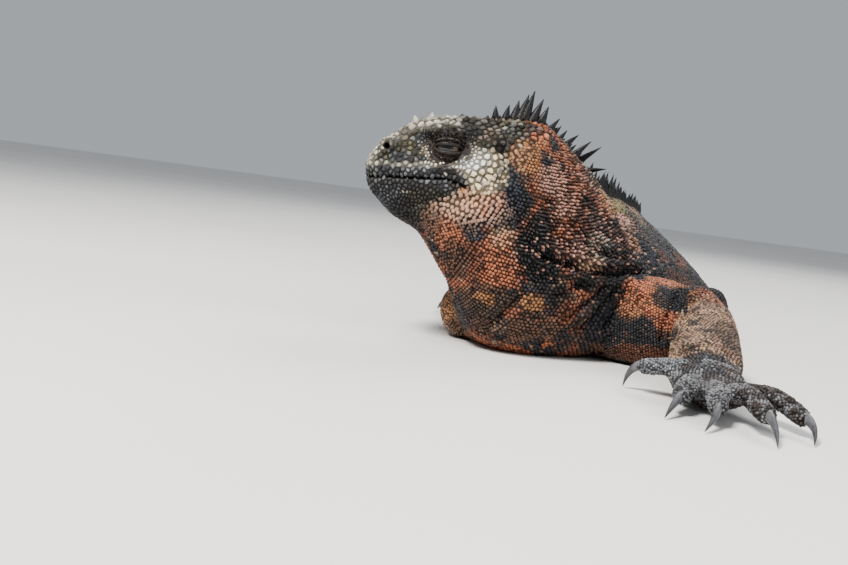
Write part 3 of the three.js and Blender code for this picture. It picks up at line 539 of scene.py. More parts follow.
# The face is cut finer than the body, and the mouth, eyes and nostrils finer again
bm = bmesh.new()
bm.from_mesh(skinMesh)
for turnIndex in range(2):
    bm.verts.ensure_lookup_table()
    points = np.array([v.co for v in bm.verts]) / mm
    s, side, z = headPlace(points)
    fine = (s > skinForm["faceFrom"]) & (z > 38) & (np.abs(side) < 34) & (points[:, 1] < -20)
    if turnIndex == 1:
        eyeGap = np.minimum(*[np.linalg.norm(points - centre, axis=1) for centre in eyeCentres.values()])
        noseGap = noseGapOf(s, z)
        fine &= (eyeGap < 11) | ((noseGap < 5) & (np.abs(side) > 5)) | ((np.abs(z - mouth["height"]) < 3) & (s > 20))
    bm.verts.index_update()
    cut = [edge for edge in bm.edges if fine[edge.verts[0].index] and fine[edge.verts[1].index]]
    bmesh.ops.subdivide_edges(bm, edges=cut, cuts=1, use_grid_fill=True, smooth=0.6)
bmesh.ops.triangulate(bm, faces=[face for face in bm.faces if len(face.verts) != 4])
bm.to_mesh(skinMesh)
bm.free()
skinMesh.update()
s, side, z = headPlace(pointsOf(skinMesh))
relax(skinMesh, 4, ramp(2, 6, s) * ramp(36, 40, z))
print("stage: skin cut and smoothed,", sum(len(face.vertices) - 2 for face in skinMesh.polygons), "triangles")

# Folds and creases: a path on the skin, how wide and how deep it runs; a soft roll stands beside each one
folds = [
    {"path": [(-31, -56, 86), (-28, -58, 80), (-27, -59, 74), (-25, -59, 66), (-21, -56, 58), (-17, -53, 49)], "width": 2.6, "depth": 2.0},
    {"path": [(-12, -48, 66), (-7, -45, 56), (-2, -42, 46), (2, -38, 36), (6, -35, 28)], "width": 3.4, "depth": 1.1},
    {"path": [(-12, -49, 45), (-4, -44, 43), (6, -34, 41), (16, -22, 40), (22, -12, 41), (28, -2, 41)], "width": 2.0, "depth": 2.6},
    {"path": [(5, -36, 34), (0, -40, 31), (-4, -43, 29)], "width": 1.6, "depth": 1.4},
    {"path": [(13, -27, 33), (8, -32, 26), (1, -37, 20)], "width": 1.7, "depth": 1.6},
    {"path": [(46, -19, 37), (44, -21, 31), (42, -23, 24), (41, -22, 15)], "width": 1.5, "depth": 1.5},
    {"path": [(-17, -51, 28), (-25, -49, 17), (-34, -41, 8)], "width": 2.0, "depth": 1.3},
    {"path": [(-3, -41, 60), (4, -34, 52), (13, -24, 48), (22, -12, 46)], "width": 2.2, "depth": 1.2},
    {"path": [(18, -22, 32), (15, -26, 27), (11, -28, 21), (8, -30, 16)], "width": 1.8, "depth": 1.4},
    {"path": [(24, -17, 34), (22, -19, 28), (19, -21, 23), (17, -22, 17)], "width": 1.8, "depth": 1.5},
    {"path": [(30, -20, 31), (27, -21, 27), (24, -21, 22)], "width": 1.6, "depth": 1.1},
    {"path": [(57, -12, 38), (52, -19, 34), (49, -25, 29), (47, -36, 24), (46, -43, 19), (45, -50, 15)], "width": 2.2, "depth": 1.6},
    {"path": [(-53, -63, 62), (-49, -63, 55), (-44, -60, 46), (-38, -58, 39), (-31, -56, 32)], "width": 2.0, "depth": 0.5},
    {"path": [(-48, -42, 20), (-44, -44, 13), (-40, -44, 6)], "width": 2.0, "depth": 1.4},
]
sculptForm = {"mouthDepth": 1.2, "mouthWidth": 0.45, "nostrilDepth": 2.6, "earDepth": 1.6, "unevenness": 1.1}


def pathGap(points, path):
    best = np.full(len(points), 1e9)
    path = np.asarray(path, float)
    for start, end in zip(path[:-1], path[1:]):
        run = end - start
        t = np.clip((points - start) @ run / (run @ run), 0, 1)
        best = np.minimum(best, np.linalg.norm(points - start - t[:, None] * run, axis=1))
    return best


def mouthHeight(s):
    return np.interp(s, [18, 21, 24, 28, 31, 38, 45, 56, 62], [66.6, 68, 69.1, 70.1, 70.8, 70.2, 69.4, 68.7, 68])


skinPoints = pointsOf(skinMesh)
normals = normalsOf(skinMesh)
push = np.zeros(len(skinPoints))
for fold in folds:
    gap = pathGap(skinPoints, fold["path"]) / fold["width"]
    push += -fold["depth"] * np.exp(-gap ** 2) + fold["depth"] * 0.5 * np.exp(-((gap - 2.0) / 0.8) ** 2)
s, side, z = headPlace(skinPoints)
onFace = (s > 14) & (z > 40)
lineGap = (z - mouthHeight(s)) / sculptForm["mouthWidth"]
push -= np.where(onFace & (s > 16), sculptForm["mouthDepth"] * np.exp(-lineGap ** 2) * ramp(18, 24, s), 0)
noseGap = noseGapOf(s, z)
push -= np.where(np.abs(side) > 5, sculptForm["nostrilDepth"] * np.exp(-(noseGap / 1.15) ** 4), 0)
push += np.where(np.abs(side) > 5, 0.7 * np.exp(-((noseGap - 2.4) / 0.9) ** 2), 0)
earGap = np.hypot((s - ear["s"]) / 2.7, (z - ear["z"]) / 3.8)
push -= np.where((np.abs(side) > 12), sculptForm["earDepth"] * np.exp(-earGap ** 4), 0)
push += (layeredNoise(skinPoints, 14, 3) - 0.5) * sculptForm["unevenness"] * ramp(70, 45, s)
skinPoints = skinPoints + normals * push[:, None]
wholeFace = BVHTree.FromPolygons([tuple(p) for p in skinPoints], [tuple(face.vertices) for face in skinMesh.polygons])
for centre in eyeCentres.values():           # room for the eyeball and its lids
    away = skinPoints - centre
    reach = np.linalg.norm(away, axis=1)
    outside = dots(away, headLeft * np.sign(dots(centre - headLine["origin"], headLeft)))
    inLids = ramp(8.2, 7.2, np.hypot(dots(away, headForward) * 0.92, away[:, 2])) * (outside > 0)
    target = np.minimum(reach, eye["radius"] - 0.9)
    skinPoints = skinPoints + unit(away) * ((target - reach) * inLids)[:, None]
skinPoints[:, 2] = np.maximum(skinPoints[:, 2], 0.02)
skinMesh.vertices.foreach_set("co", (skinPoints * mm).astype(np.float32).ravel())
skinMesh.update()
skinFaces = [tuple(face.vertices) for face in skinMesh.polygons]
skinTree = BVHTree.FromPolygons([tuple(p) for p in skinPoints], skinFaces)
skinNormals = normalsOf(skinMesh)
skinKd = searchTree(skinPoints)


def onSkin(points):                          # nearest places on the skin, their normals and how far they were
    places, outward, gaps = np.empty_like(points), np.empty_like(points), np.empty(len(points))
    for index, point in enumerate(points):
        place, _, _, gap = skinTree.find_nearest(point)
        places[index], gaps[index] = place, gap
        outward[index] = skinNormals[skinKd.find(place)[1]]
    return places, outward, gaps


# A chart of the surfaces: for any point, the part it is on, its place along and round it, and its unwrap
chartRows = []
for number, (name, surface) in enumerate(surfaces.items()):
    many = {"body": (150, 110), "tail": (150, 40), "head": (60, 80)}.get(name, (24, 30))
    places = np.linspace(surface["from"], surface["to"], many[0])
    angles = np.linspace(0, 2 * math.pi, many[1], endpoint=False)
    grid = surface["point"](places[:, None], angles[None, :], under)
    ahead = surface["point"](places[:, None] + 1e-2, angles[None, :], under) - grid
    around = surface["point"](places[:, None], angles[None, :] + 1e-2, under) - grid
    flat = [np.broadcast_to(v, many).ravel() for v in (places[:, None], angles[None, :])]
    chartRows.append(np.column_stack([grid.reshape(-1, 3), ahead.reshape(-1, 3) * 100, around.reshape(-1, 3) * 100,
                                      flat[0], flat[1], np.full(flat[0].size, number)]))
chart = np.concatenate(chartRows)
_, _, chartGap = onSkin(chart[:, :3])
chart = chart[chartGap < 3.0]
chartKd = searchTree(chart[:, :3])
surfaceNames = list(surfaces)
sheets = np.array([surfaces[name]["sheet"] for name in surfaceNames])
spans = np.array([[surfaces[name]["from"], surfaces[name]["to"]] for name in surfaceNames])


def charted(points):
    near = chart[[chartKd.find(point)[1] for point in points]]
    away = points - near[:, :3]
    ahead, around = near[:, 3:6], near[:, 6:9]
    place = near[:, 9] + dots(away, ahead) / np.maximum(dots(ahead, ahead), 1e-6)
    angle = near[:, 10] + dots(away, around) / np.maximum(dots(around, around), 1e-6)
    part = near[:, 11].astype(int)
    span, sheet = spans[part], sheets[part]
    along = np.clip((place - span[:, 0]) / (span[:, 1] - span[:, 0]), 0, 1)
    turned = np.mod(angle / (2 * math.pi), 1)
    unwrap = np.stack([sheet[:, 0] + sheet[:, 2] * along, sheet[:, 1] + sheet[:, 3] * turned], axis=1)
    return {"part": part, "place": place, "angle": np.mod(angle, 2 * math.pi), "unwrap": unwrap, "lie": unit(ahead)}


print("stage: face and folds worked in, surfaces charted")

# Markings: what each pigment is, and where the patches lie. The same markings, with painted light on the face, colour
# skin and scales.
pigments = {name: linear(value) for name, value in {
    "rust": (136, 84, 61), "deepRust": (90, 54, 39), "amber": (138, 98, 66), "tan": (172, 142, 118),
    "pinkTan": (150, 116, 102), "charcoal": (30, 29, 31), "black": (16, 16, 18), "blueBlack": (30, 35, 45),
    "brown": (86, 63, 49), "umber": (55, 43, 35), "olive": (84, 80, 62), "mossy": (104, 96, 54),
    "stone": (142, 138, 126), "bone": (196, 190, 176), "salt": (216, 219, 222), "cream": (190, 172, 142),
    "slate": (84, 87, 92), "dusk": (48, 48, 51), "horn": (130, 131, 134), "darkOlive": (46, 43, 35), "dun": (124, 102, 85),
}.items()}
patches = [   # centre, size, pigment, strength
    ((-62, -60, 60), (14, 14, 9), "darkOlive", 0.85), ((-76, -56, 60), (8, 14, 6), "slate", 0.45),
    ((-70, -61, 56), (7, 10, 6), "charcoal", 0.7), ((-56, -62, 52), (8, 8, 8), "brown", 0.8),
    ((-48, -63, 46), (9, 10, 10), "rust", 0.7), ((-40, -62, 54), (5, 6, 4), "charcoal", 0.8),
    ((-44, -62, 60), (8, 6, 4), "tan", 0.55), ((-38, -62, 66), (8, 6, 4), "amber", 0.5),
    ((-28, -60, 57), (5, 6, 5), "charcoal", 0.9), ((-33, -61, 48), (5, 6, 4), "blueBlack", 0.7),
    ((-28, -59, 45), (7, 8, 7), "rust", 1), ((-31, -57, 35), (8, 9, 6), "rust", 0.9), ((-23, -57, 38), (7, 8, 8), "rust", 0.85),
    ((-39, -59, 38), (7, 8, 10), "deepRust", 0.9), ((-46, -58, 36), (6, 8, 12), "umber", 0.7),
    ((-26, -52, 22), (22, 14, 8), "umber", 0.85), ((-31, -51, 24), (5, 8, 3), "amber", 0.8), ((-20, -51, 19), (5, 8, 3), "rust", 0.7), ((-26, -58, 51), (6, 6, 5), "tan", 0.4), ((-16, -46, 11), (10, 10, 8), "brown", 0.8),
    ((-34, -48, 14), (10, 12, 9), "umber", 0.8), ((-44, -44, 14), (6, 8, 10), "dusk", 0.7),
    ((-22, -58, 64), (5, 6, 9), "charcoal", 1), ((-26, -58, 76), (4, 7, 8), "blueBlack", 0.9),
    ((-17, -53, 49), (6, 8, 8), "black", 0.95), ((-10, -48, 40), (7, 9, 10), "black", 1), ((-12, -50, 56), (5, 8, 8), "charcoal", 0.9),
    ((-19, -55, 56), (4, 6, 4), "deepRust", 0.5), ((-15, -52, 48), (7, 9, 13), "charcoal", 0.75), ((-25, -58, 66), (4, 7, 9), "blueBlack", 0.7), ((-6, -44, 28), (8, 9, 9), "charcoal", 0.9),
    ((-11, -48, 25), (6, 7, 4), "amber", 0.8), ((-4, -41, 14), (6, 7, 6), "brown", 0.7), ((2, -37, 21), (5, 6, 6), "deepRust", 0.75),
    ((-22, -54, 84), (8, 10, 8), "amber", 0.7), ((-12, -44, 76), (9, 10, 8), "pinkTan", 0.75), ((-6, -40, 66), (7, 9, 6), "pinkTan", 0.7),
    ((-4, -40, 56), (6, 8, 6), "rust", 0.7), ((2, -37, 49), (6, 8, 7), "pinkTan", 0.8), ((9, -31, 43), (8, 7, 4), "tan", 0.85),
    ((10, -26, 52), (8, 9, 7), "stone", 0.5), ((16, -20, 46), (9, 9, 6), "dusk", 0.6),
    ((4, -30, 36), (8, 8, 4), "black", 1), ((18, -20, 36), (12, 9, 5), "black", 1), ((16, -26, 26), (8, 8, 8), "charcoal", 0.95),
    ((8, -4, 71), (9, 12, 8), "amber", 0.8), ((11, 24, 72), (10, 26, 7), "mossy", 0.75), ((17, 10, 61), (8, 16, 6), "pinkTan", 0.85),
    ((4, -14, 66), (7, 8, 6), "rust", 0.6), ((24, 4, 54), (7, 10, 5), "amber", 0.6), ((38, 30, 50), (6, 12, 5), "deepRust", 0.5),
    ((45, 59, 46), (7, 16, 5), "deepRust", 0.6), ((30, 16, 49), (10, 12, 6), "blueBlack", 0.7),
    ((29, -20, 35), (7, 8, 6), "rust", 1), ((35, -22, 28), (4, 6, 4), "rust", 0.8), ((40, -14, 41), (10, 8, 3.5), "rust", 0.95),
    ((38, -22, 33), (5, 6, 5), "charcoal", 0.9), ((47, -20, 34), (6, 7, 4), "charcoal", 0.75), ((43, -23, 23), (6, 7, 4.5), "rust", 0.9),
    ((24, -20, 5), (16, 9, 6), "brown", 0.85), ((36, -20, 7), (11, 9, 5), "deepRust", 0.85), ((14, -22, 16), (12, 8, 8), "blueBlack", 0.85),
    ((28, -22, 18), (9, 8, 7), "charcoal", 0.8), ((50, -54, 20), (7, 10, 9), "dun", 0.75), ((48, -60, 12), (6, 9, 6), "tan", 0.6),
    ((58, -40, 30), (6, 12, 5), "dun", 0.55), ((64, -52, 16), (8, 10, 8), "umber", 0.6), ((67, -46, 24), (7, 14, 10), "umber", 0.7), ((-52, -22, 16), (8, 9, 9), "amber", 0.85),
    ((-46, -22, 5), (8, 9, 6), "brown", 0.7), ((60, -12, 36), (8, 9, 6), "rust", 0.5),
]


def blend(under, over, weight):
    return under + (over - under) * np.clip(weight, 0, 1)[:, None]


def mixed(first, second, weight):            # two of the pigments, by weight
    return blend(pigments[first], pigments[second], weight)


def pigmentAndPaintedLightAt(points, chartOf):              # the animal's markings, as a colour for any place on it, with a painted highlight on the snout's top and painted shade in the mouth line and nostrils
    s, side, z = headPlace(points)
    part = np.array(surfaceNames, dtype=object)[chartOf["part"]]
    place = np.where(part == "head", chartOf["place"] - 12, np.where((part == "body") | (part == "tail"), chartOf["place"], 3.0))
    big, middle, fine = layeredNoise(points, 22, 5), layeredNoise(points, 8, 9), layeredNoise(points, 3.2, 21)
    ragged = (middle - 0.5) * 1.1 + (fine - 0.5) * 0.7

    trunk = mixed("charcoal", "dusk", ramp(0.35, 0.7, middle))
    trunk = blend(trunk, mixed("deepRust", "umber", fine), 0.8 * ramp(0.5, 0.62, big * 0.5 + middle * 0.35 + fine * 0.2))
    up = np.sin(chartOf["angle"])
    trunk = blend(trunk, mixed("mossy", "amber", ramp(0.4, 0.6, fine)), 0.6 * ramp(0.72, 0.95, up) * ramp(11, 7, place) * ramp(0.4, 0.6, middle))
    tail = mixed("charcoal", "umber", ramp(0.4, 0.7, big * 0.6 + middle * 0.4))
    tail = blend(tail, pigments["brown"], 0.5 * ramp(0.55, 0.7, middle) * ramp(20, 15, place))
    neck = mixed("rust", "deepRust", ramp(0.3, 0.75, middle))
    neck = blend(neck, mixed("charcoal", "blueBlack", fine), 0.95 * ramp(0.5, 0.58, middle * 0.6 + big * 0.4 + (fine - 0.5) * 0.5))
    neck = blend(neck, mixed("amber", "tan", fine), 0.5 * ramp(0.62, 0.74, fine))
    crownZ = crownHeight(s)
    head = mixed("darkOlive", "olive", ramp(0.42, 0.66, middle + (fine - 0.5) * 0.8))
    head = blend(head, mixed("stone", "slate", middle), 0.7 * ramp(0.56, 0.64, fine))
    head = blend(head, mixed("charcoal", "slate", middle), 0.9 * ramp(0.44, 0.56, layeredNoise(points, 5, 77)) * ramp(3, 8, crownZ - z))
    # painted highlight: the top of the snout is paler, as if lit from above
    head = blend(head, mixed("bone", "stone", fine), 0.7 * ramp(6, 2.5, crownZ - z + (middle - 0.5) * 6) * ramp(24, 36, s))
    head = blend(head, mixed("brown", "olive", fine), 0.7 * ramp(0.45, 0.6, middle) * ramp(28, 16, s) * ramp(84, 90, z))
    lower = mixed("darkOlive", "charcoal", ramp(0.35, 0.6, middle))
    lower = blend(lower, pigments["brown"], 0.7 * ramp(0.5, 0.65, fine) * ramp(52, 36, s))
    head = blend(head, lower, ramp(mouth["height"] + 1, mouth["height"] - 1.5, z))
    head = blend(head, neck, ramp(2, -4, s + ragged * 3) + ramp(60, 54, z + (s - 30) * 0.5 + ragged * 4) * ramp(46, 30, s))
    colour = np.where((part == "head")[:, None], head, neck)
    colour = blend(colour, trunk, np.where(part == "body", ramp(1.6, 4.2, place + ragged * 1.2 + 1.4 * up), 0))
    colour = blend(colour, tail, np.where(part == "tail", 1, np.where(part == "body", ramp(12, 14, place), 0)))

    arm = mixed("blueBlack", "umber", ramp(0.4, 0.65, middle))
    arm = blend(arm, mixed("rust", "amber", fine), 0.9 * ramp(0.52, 0.6, middle * 0.6 + big * 0.4))
    fore = mixed("dun", "brown", ramp(0.3, 0.7, middle))
    fore = blend(fore, mixed("umber", "dusk", middle), 0.9 * ramp(0.46, 0.58, fine * 0.6 + layeredNoise(points, 9, 41) * 0.4))
    fore = blend(fore, mixed("tan", "dun", fine), 0.7 * ramp(0.5, 0.62, layeredNoise(points, 4.5, 43)))
    leg = mixed("charcoal", "umber", ramp(0.4, 0.62, middle))
    leg = blend(leg, pigments["deepRust"], 0.6 * ramp(0.58, 0.68, big * 0.5 + middle * 0.5))
    hand = mixed("dusk", "umber", ramp(0.35, 0.7, middle))
    hand = blend(hand, mixed("slate", "horn", ramp(0.4, 0.6, fine)), 0.6 * ramp(0.42, 0.6, layeredNoise(points, 3, 55)))
    for name in surfaceNames[3:]:
        here = (part == name)[:, None]
        colour = np.where(here, hand if ("palm" in name or "digit" in name) else leg if "leg" in name
                          else fore if "lower" in name else arm, colour)
    ends = np.where(part == "left_hand_digit_1", 0.9, np.where((part == "left_hand_digit_2") | (part == "left_hand_digit_3"), 0.55, 0))
    colour = blend(colour, mixed("slate", "horn", fine), ends)

    for centre, size, pigment, strength in patches:
        for mirrored in (False, True):
            if mirrored:
                s0, side0, z0 = headPlace(np.array(centre, float))
                if centre[0] > 16 or s0 < 0:
                    continue
                centre = headPoint(s0, -side0, z0)
                size = (max(size[0], size[1]),) * 2 + (size[2],)
            reach = np.linalg.norm((points - np.asarray(centre, float)) / np.asarray(size, float), axis=1)
            colour = blend(colour, pigments[pigment], strength * ramp(1.12, 0.8, reach + ragged * 0.9))

    # The face: salt-crusted cheeks, dark eye surround, pale lips and brow
    width = np.abs(side)
    nearCheek = (width > 8) * (part == "head")
    behind = ramp(1.15, 0.85, np.hypot((s - 14.5) / 9, (z - 75.5) / 8) + ragged * 0.5)
    colour = blend(colour, mixed("cream", "stone", ramp(0.3, 0.7, fine)), 0.8 * behind * nearCheek)
    salt = ramp(1.15, 0.75, np.hypot((s - 23.5) / 9.5, (z - 79.6 - (22 - s) * 0.08) / (4.4 + 0.14 * (26 - s))) + ragged * 0.6)
    colour = blend(colour, mixed("salt", "bone", ramp(0.35, 0.75, fine)), salt * nearCheek)
    eyeGap = np.hypot((s - eye["s"]) / 1.25, z - eye["z"])
    colour = blend(colour, mixed("charcoal", "umber", fine), 0.9 * ramp(9.6, 6.8, eyeGap * np.where(z < eye["z"] - 2, 1.35, 1) + ragged * 2) * (width > 9) * (z < 91))
    fold = ramp(3.0, 1.2, np.abs(z - (80 - (37 - s) * 0.42) + ragged * 1.4)) * ramp(44, 38, s) * ramp(10, 15, s)
    colour = blend(colour, mixed("cream", "bone", fine), 0.75 * fold * (width > 9))
    lips = ramp(3.4, 1.8, np.abs(z - mouthHeight(s) - 3)) * ramp(20, 26, s) * (part == "head")
    colour = blend(colour, mixed("dusk", "slate", ramp(0.42, 0.62, fine + (z - mouthHeight(s) - 4) * 0.08)), 0.85 * lips)
    ledge = ramp(1.6, 0.8, np.abs(z - mouthHeight(s) - 5.4 - ragged * 0.6)) * ramp(30, 36, s) * (width > 5) * (part == "head")
    colour = blend(colour, mixed("stone", "bone", fine), 0.7 * ledge)
    under = ramp(3.0, 1.6, np.abs(z - mouthHeight(s) + 2.6)) * ramp(24, 32, s) * (part == "head")
    colour = blend(colour, mixed("slate", "dusk", ramp(0.35, 0.55, fine)), 0.6 * under)
    # painted shade: black in the mouth line and in the nostrils
    colour = blend(colour, pigments["black"], 0.9 * ramp(0.8, 0.3, np.abs(z - mouthHeight(s))) * ramp(20, 25, s))
    colour = blend(colour, pigments["black"], ramp(1.6, 1.0, noseGapOf(s, z)) * (width > 5))
    return np.clip(colour, 0.002, 0.95)


skinChart = charted(skinPoints)
skinPigmentAndPaintedLight = pigmentAndPaintedLightAt(skinPoints, skinChart)
creviceShade = 0.36                                # painted shade: bare skin between the scales is darkened
# the skin's pigment attribute holds the markings times this painted shade
putAttribute(skinMesh, "pigment", "FLOAT_COLOR", "POINT", withAlpha(skinPigmentAndPaintedLight * creviceShade))
print("stage: markings laid on the skin")

# Scale coat: roots stand in rows round each surface, thinned where rows crowd and filled where they part.
# pitch = distance between scales in mm along the part from front to back, rise = height, length = share longer than wide
coatForm = {
    "head": {"pitch": (1.65, 1.65), "rise": 0.5, "length": 1.0}, "body": {"pitch": (1.5, 2.3), "rise": 0.6, "length": 1.05},
    "tail": {"pitch": (2.6, 2.2), "rise": 0.7, "length": 1.35}, "arm_upper": {"pitch": (1.25, 1.25), "rise": 0.4, "length": 1.1},
    "arm_lower": {"pitch": (1.35, 1.35), "rise": 0.42, "length": 1.15}, "leg_upper": {"pitch": (2.3, 2.3), "rise": 0.5, "length": 1.1},
    "leg_lower": {"pitch": (2.2, 2.2), "rise": 0.5, "length": 1.1}, "palm": {"pitch": (1.3, 1.3), "rise": 0.35, "length": 1.05},
    "digit": {"pitch": (1.25, 1.2), "rise": 0.35, "length": 0.85},
}


def coatOf(name):
    return next(form for key, form in coatForm.items() if name == key or name.endswith(key) or key in name)


def pitchAt(chartOf, points):
    names = np.array(surfaceNames, dtype=object)[chartOf["part"]]
    pitch = np.empty(len(points))
    for name in surfaceNames:
        here = names == name
        first, last = coatOf(name)["pitch"]
        t = (chartOf["place"][here] - surfaces[name]["from"]) / (surfaces[name]["to"] - surfaces[name]["from"])
        pitch[here] = mix(first, last, np.clip(t * (2.2 if name == "body" else 1), 0, 1))
    s, side, z = headPlace(points)
    pitch = np.where((names == "body") & (chartOf["place"] < 1), 1.6, pitch)
    pitch = np.where(names == "head", mix(1.45, 1.85, ramp(50, 61, z) * ramp(-12, 0, s)), pitch)
    return pitch


def faceShare(points):                       # 1 where the head carries scutes, 0 where it carries small scales
    s, side, z = headPlace(points)
    lowest = np.interp(s, [-9, 2, 10, 18, 26, 40, 70], [93, 88, 76, 68, 66, 58, 50])
    return ((z > lowest) & (s > -8.5) & (points[:, 1] < -28)).astype(float)


candidates = []
for name, surface in surfaces.items():
    form = coatOf(name)
    place, end = surface["from"], surface["to"]
    row = 0
    while place < end:
        t = np.clip((place - surface["from"]) / (end - surface["from"]) * (2.2 if name == "body" else 1), 0, 1)
        pitch = mix(form["pitch"][0], form["pitch"][1], t)
        ring = surface["point"](np.full(160, place), np.linspace(0, 2 * math.pi, 160, endpoint=False), under)
        nextRing = surface["point"](np.full(160, min(place + 1e-2, end)), np.linspace(0, 2 * math.pi, 160, endpoint=False), under)
        advance = np.percentile(np.linalg.norm(nextRing - ring, axis=1), 85) * 100 + 1e-6
        steps = np.linalg.norm(np.roll(ring, -1, axis=0) - ring, axis=1)
        around = np.concatenate([[0], np.cumsum(steps)])
        count = int(around[-1] / pitch)
        if count >= 5:
            wanted = (np.arange(count) + (0.5 if row % 2 else 0)) / count * around[-1]
            wanted = wanted + chance.normal(0, 0.11 * pitch, count)
            at = np.interp(np.mod(wanted, around[-1]), around, np.arange(161))
            low = at.astype(int) % 160
            candidates.append(ring[low] + (ring[(low + 1) % 160] - ring[low]) * (at - at.astype(int))[:, None])
        place += min(0.88 * pitch * form["length"] / advance, (end - surface["from"]) / 8)
        row += 1
rowCount = sum(len(block) for block in candidates)
triangles = np.array([(face[0], face[k], face[k + 1]) for face in skinFaces for k in range(1, len(face) - 1)])
corners = skinPoints[triangles]
areas = np.linalg.norm(np.cross(corners[:, 1] - corners[:, 0], corners[:, 2] - corners[:, 0]), axis=1) / 2
sprinkled = {"body": 190000, "head": 60000}  # random places tried between the rows, and on the head


def sprinkle(count, among):                  # random places on some of the skin's triangles, even by area
    picked = chance.choice(among, count, p=areas[among] / areas[among].sum())
    u, v = chance.random((2, count))
    flip = u + v > 1
    u, v = np.where(flip, 1 - u, u)[:, None], np.where(flip, 1 - v, v)[:, None]
    first = corners[picked, 0]
    return first + u * (corners[picked, 1] - first) + v * (corners[picked, 2] - first)


candidates.append(sprinkle(sprinkled["body"], np.arange(len(triangles))))
candidates = np.concatenate(candidates)
roots, outward, gaps = onSkin(candidates)
ordered = np.arange(len(roots)) < rowCount
keep = (gaps < np.where(ordered, 2.2, 1e9)) & ((roots[:, 2] > 0.6) | (outward[:, 2] > -0.5)) & (faceShare(roots) < 0.5)
roots, outward, ordered = roots[keep], outward[keep], ordered[keep]
rootChart = charted(roots)
pitch = pitchAt(rootChart, roots)


def thin(points, spacing, share):            # keeps a point only where no kept one stands too near
    cells, kept = {}, []
    size = float(np.max(spacing))
    keys = np.floor(points / size).astype(int)
    around = [(i, j, k) for i in (-1, 0, 1) for j in (-1, 0, 1) for k in (-1, 0, 1)]
    flat, near = points.tolist(), (spacing * share).tolist()
    for index, (a, b, c) in enumerate(keys.tolist()):
        x, y, z = flat[index]
        free = True
        for i, j, k in around:
            for x0, y0, z0, r0 in cells.get((a + i, b + j, c + k), ()):
                limit = (r0 + near[index]) / 2
                if (x - x0) ** 2 + (y - y0) ** 2 + (z - z0) ** 2 < limit * limit:
                    free = False
                    break
            if not free:
                break
        if free:
            cells.setdefault((a, b, c), []).append((x, y, z, near[index]))
            kept.append(index)
    return np.array(kept)


kept = thin(roots, pitch, np.where(ordered, 0.74, 0.8))
roots, outward, pitch = roots[kept], outward[kept], pitch[kept]
rootChart = {key: value[kept] for key, value in rootChart.items()}
print("stage: scale roots placed,", len(roots))


def shade(colours, amount):                  # each scale its own tone
    tone = 1 + (chance.random(len(colours)) - 0.5) * amount
    return np.clip(colours * tone[:, None], 0.002, 0.95)


def speckle(points, colours, darkShare, paleAndHighlightShare, pale):   # single scales darker or paler than those round them
    draw = 0.65 * chance.random(len(points)) + 0.35 * cellNoise(points, 4.5, 83)
    dark = ramp(0.02, -0.02, draw - darkShare)[:, None]
    light = ramp(-0.02, 0.02, draw - 1 + paleAndHighlightShare)[:, None]
    colours = colours * (1 - 0.72 * dark)
    return mix(colours, pale * mix(0.7, 1.1, chance.random(len(points)))[:, None], 0.75 * light)


rootNames = np.array(surfaceNames)[rootChart["part"]]


def rootsOn(word):                           # which roots stand on parts with this word in their name
    return np.char.find(rootNames, word) >= 0


scalePigmentAndBaseShade = pigmentAndPaintedLightAt(roots, rootChart)
rootPlace = rootChart["place"]
onBody, onArm = rootNames == "body", rootsOn("arm")
onThroat = (rootNames == "head") | (onBody & (rootPlace < 4))
shoulderShare = np.where(onBody, ramp(0.2, 1.4, rootPlace) * ramp(6.5, 4, rootPlace), 0) * ramp(30, 44, roots[:, 2])
darkShare = np.where(onBody, 0.24, np.where(onArm, 0.26, 0.24)) + 0.2 * shoulderShare
# pale single scales; the extra share and the brighter tone on the shoulder are painted highlight
paleSpeckleAndHighlightShare = 0.12 + 0.17 * shoulderShare + 0.08 * onArm
paleSpeckleAndHighlightPigment = mixed("brown", "pinkTan", shoulderShare + 0.25)
scalePigmentAndBaseShade = speckle(roots, shade(scalePigmentAndBaseShade, 0.5), darkShare, paleSpeckleAndHighlightShare, paleSpeckleAndHighlightPigment)
jowl = ramp(1.25, 0.6, np.linalg.norm((roots - (-41, -61, 61)) / (18, 14, 8.5), axis=1)) * onThroat
# painted highlight: each scale's tip is a lighter copy of its own colour, mixed on the jowl with the pale colour of its
# bead centres
paleAndHighlightShare = np.clip(0.35 + 0.15 * onArm + 0.4 * jowl, 0, 1) * mix(0.6, 1.3, chance.random(len(roots)))
paler = np.clip(scalePigmentAndBaseShade * 1.75 + 0.032, 0, 0.8)
paler = mix(paler, linear((184, 150, 130)), (jowl * 0.75)[:, None])
tipPaleAndHighlight = np.clip(blend(scalePigmentAndBaseShade, paler, paleAndHighlightShare) * 1.12, 0, 0.95)
# painted shade: each scale's base colour is darkened, except on the jowl where it takes the pale bead colour
scalePigmentAndBaseShade = mix(scalePigmentAndBaseShade * mix(0.42, 0.34, onArm * 1.0)[:, None], tipPaleAndHighlight * 0.45, (jowl * 0.9)[:, None])
rises = np.array([coatOf(name)["rise"] for name in surfaceNames])[rootChart["part"]]
rises = rises * mix(0.7, 1.3, chance.random(len(roots))) * (1 + 1.2 * shoulderShare)
lengths = np.array([coatOf(name)["length"] for name in surfaceNames])[rootChart["part"]]
lie = unit(rootChart["lie"] - outward * dots(rootChart["lie"], outward)[:, None])


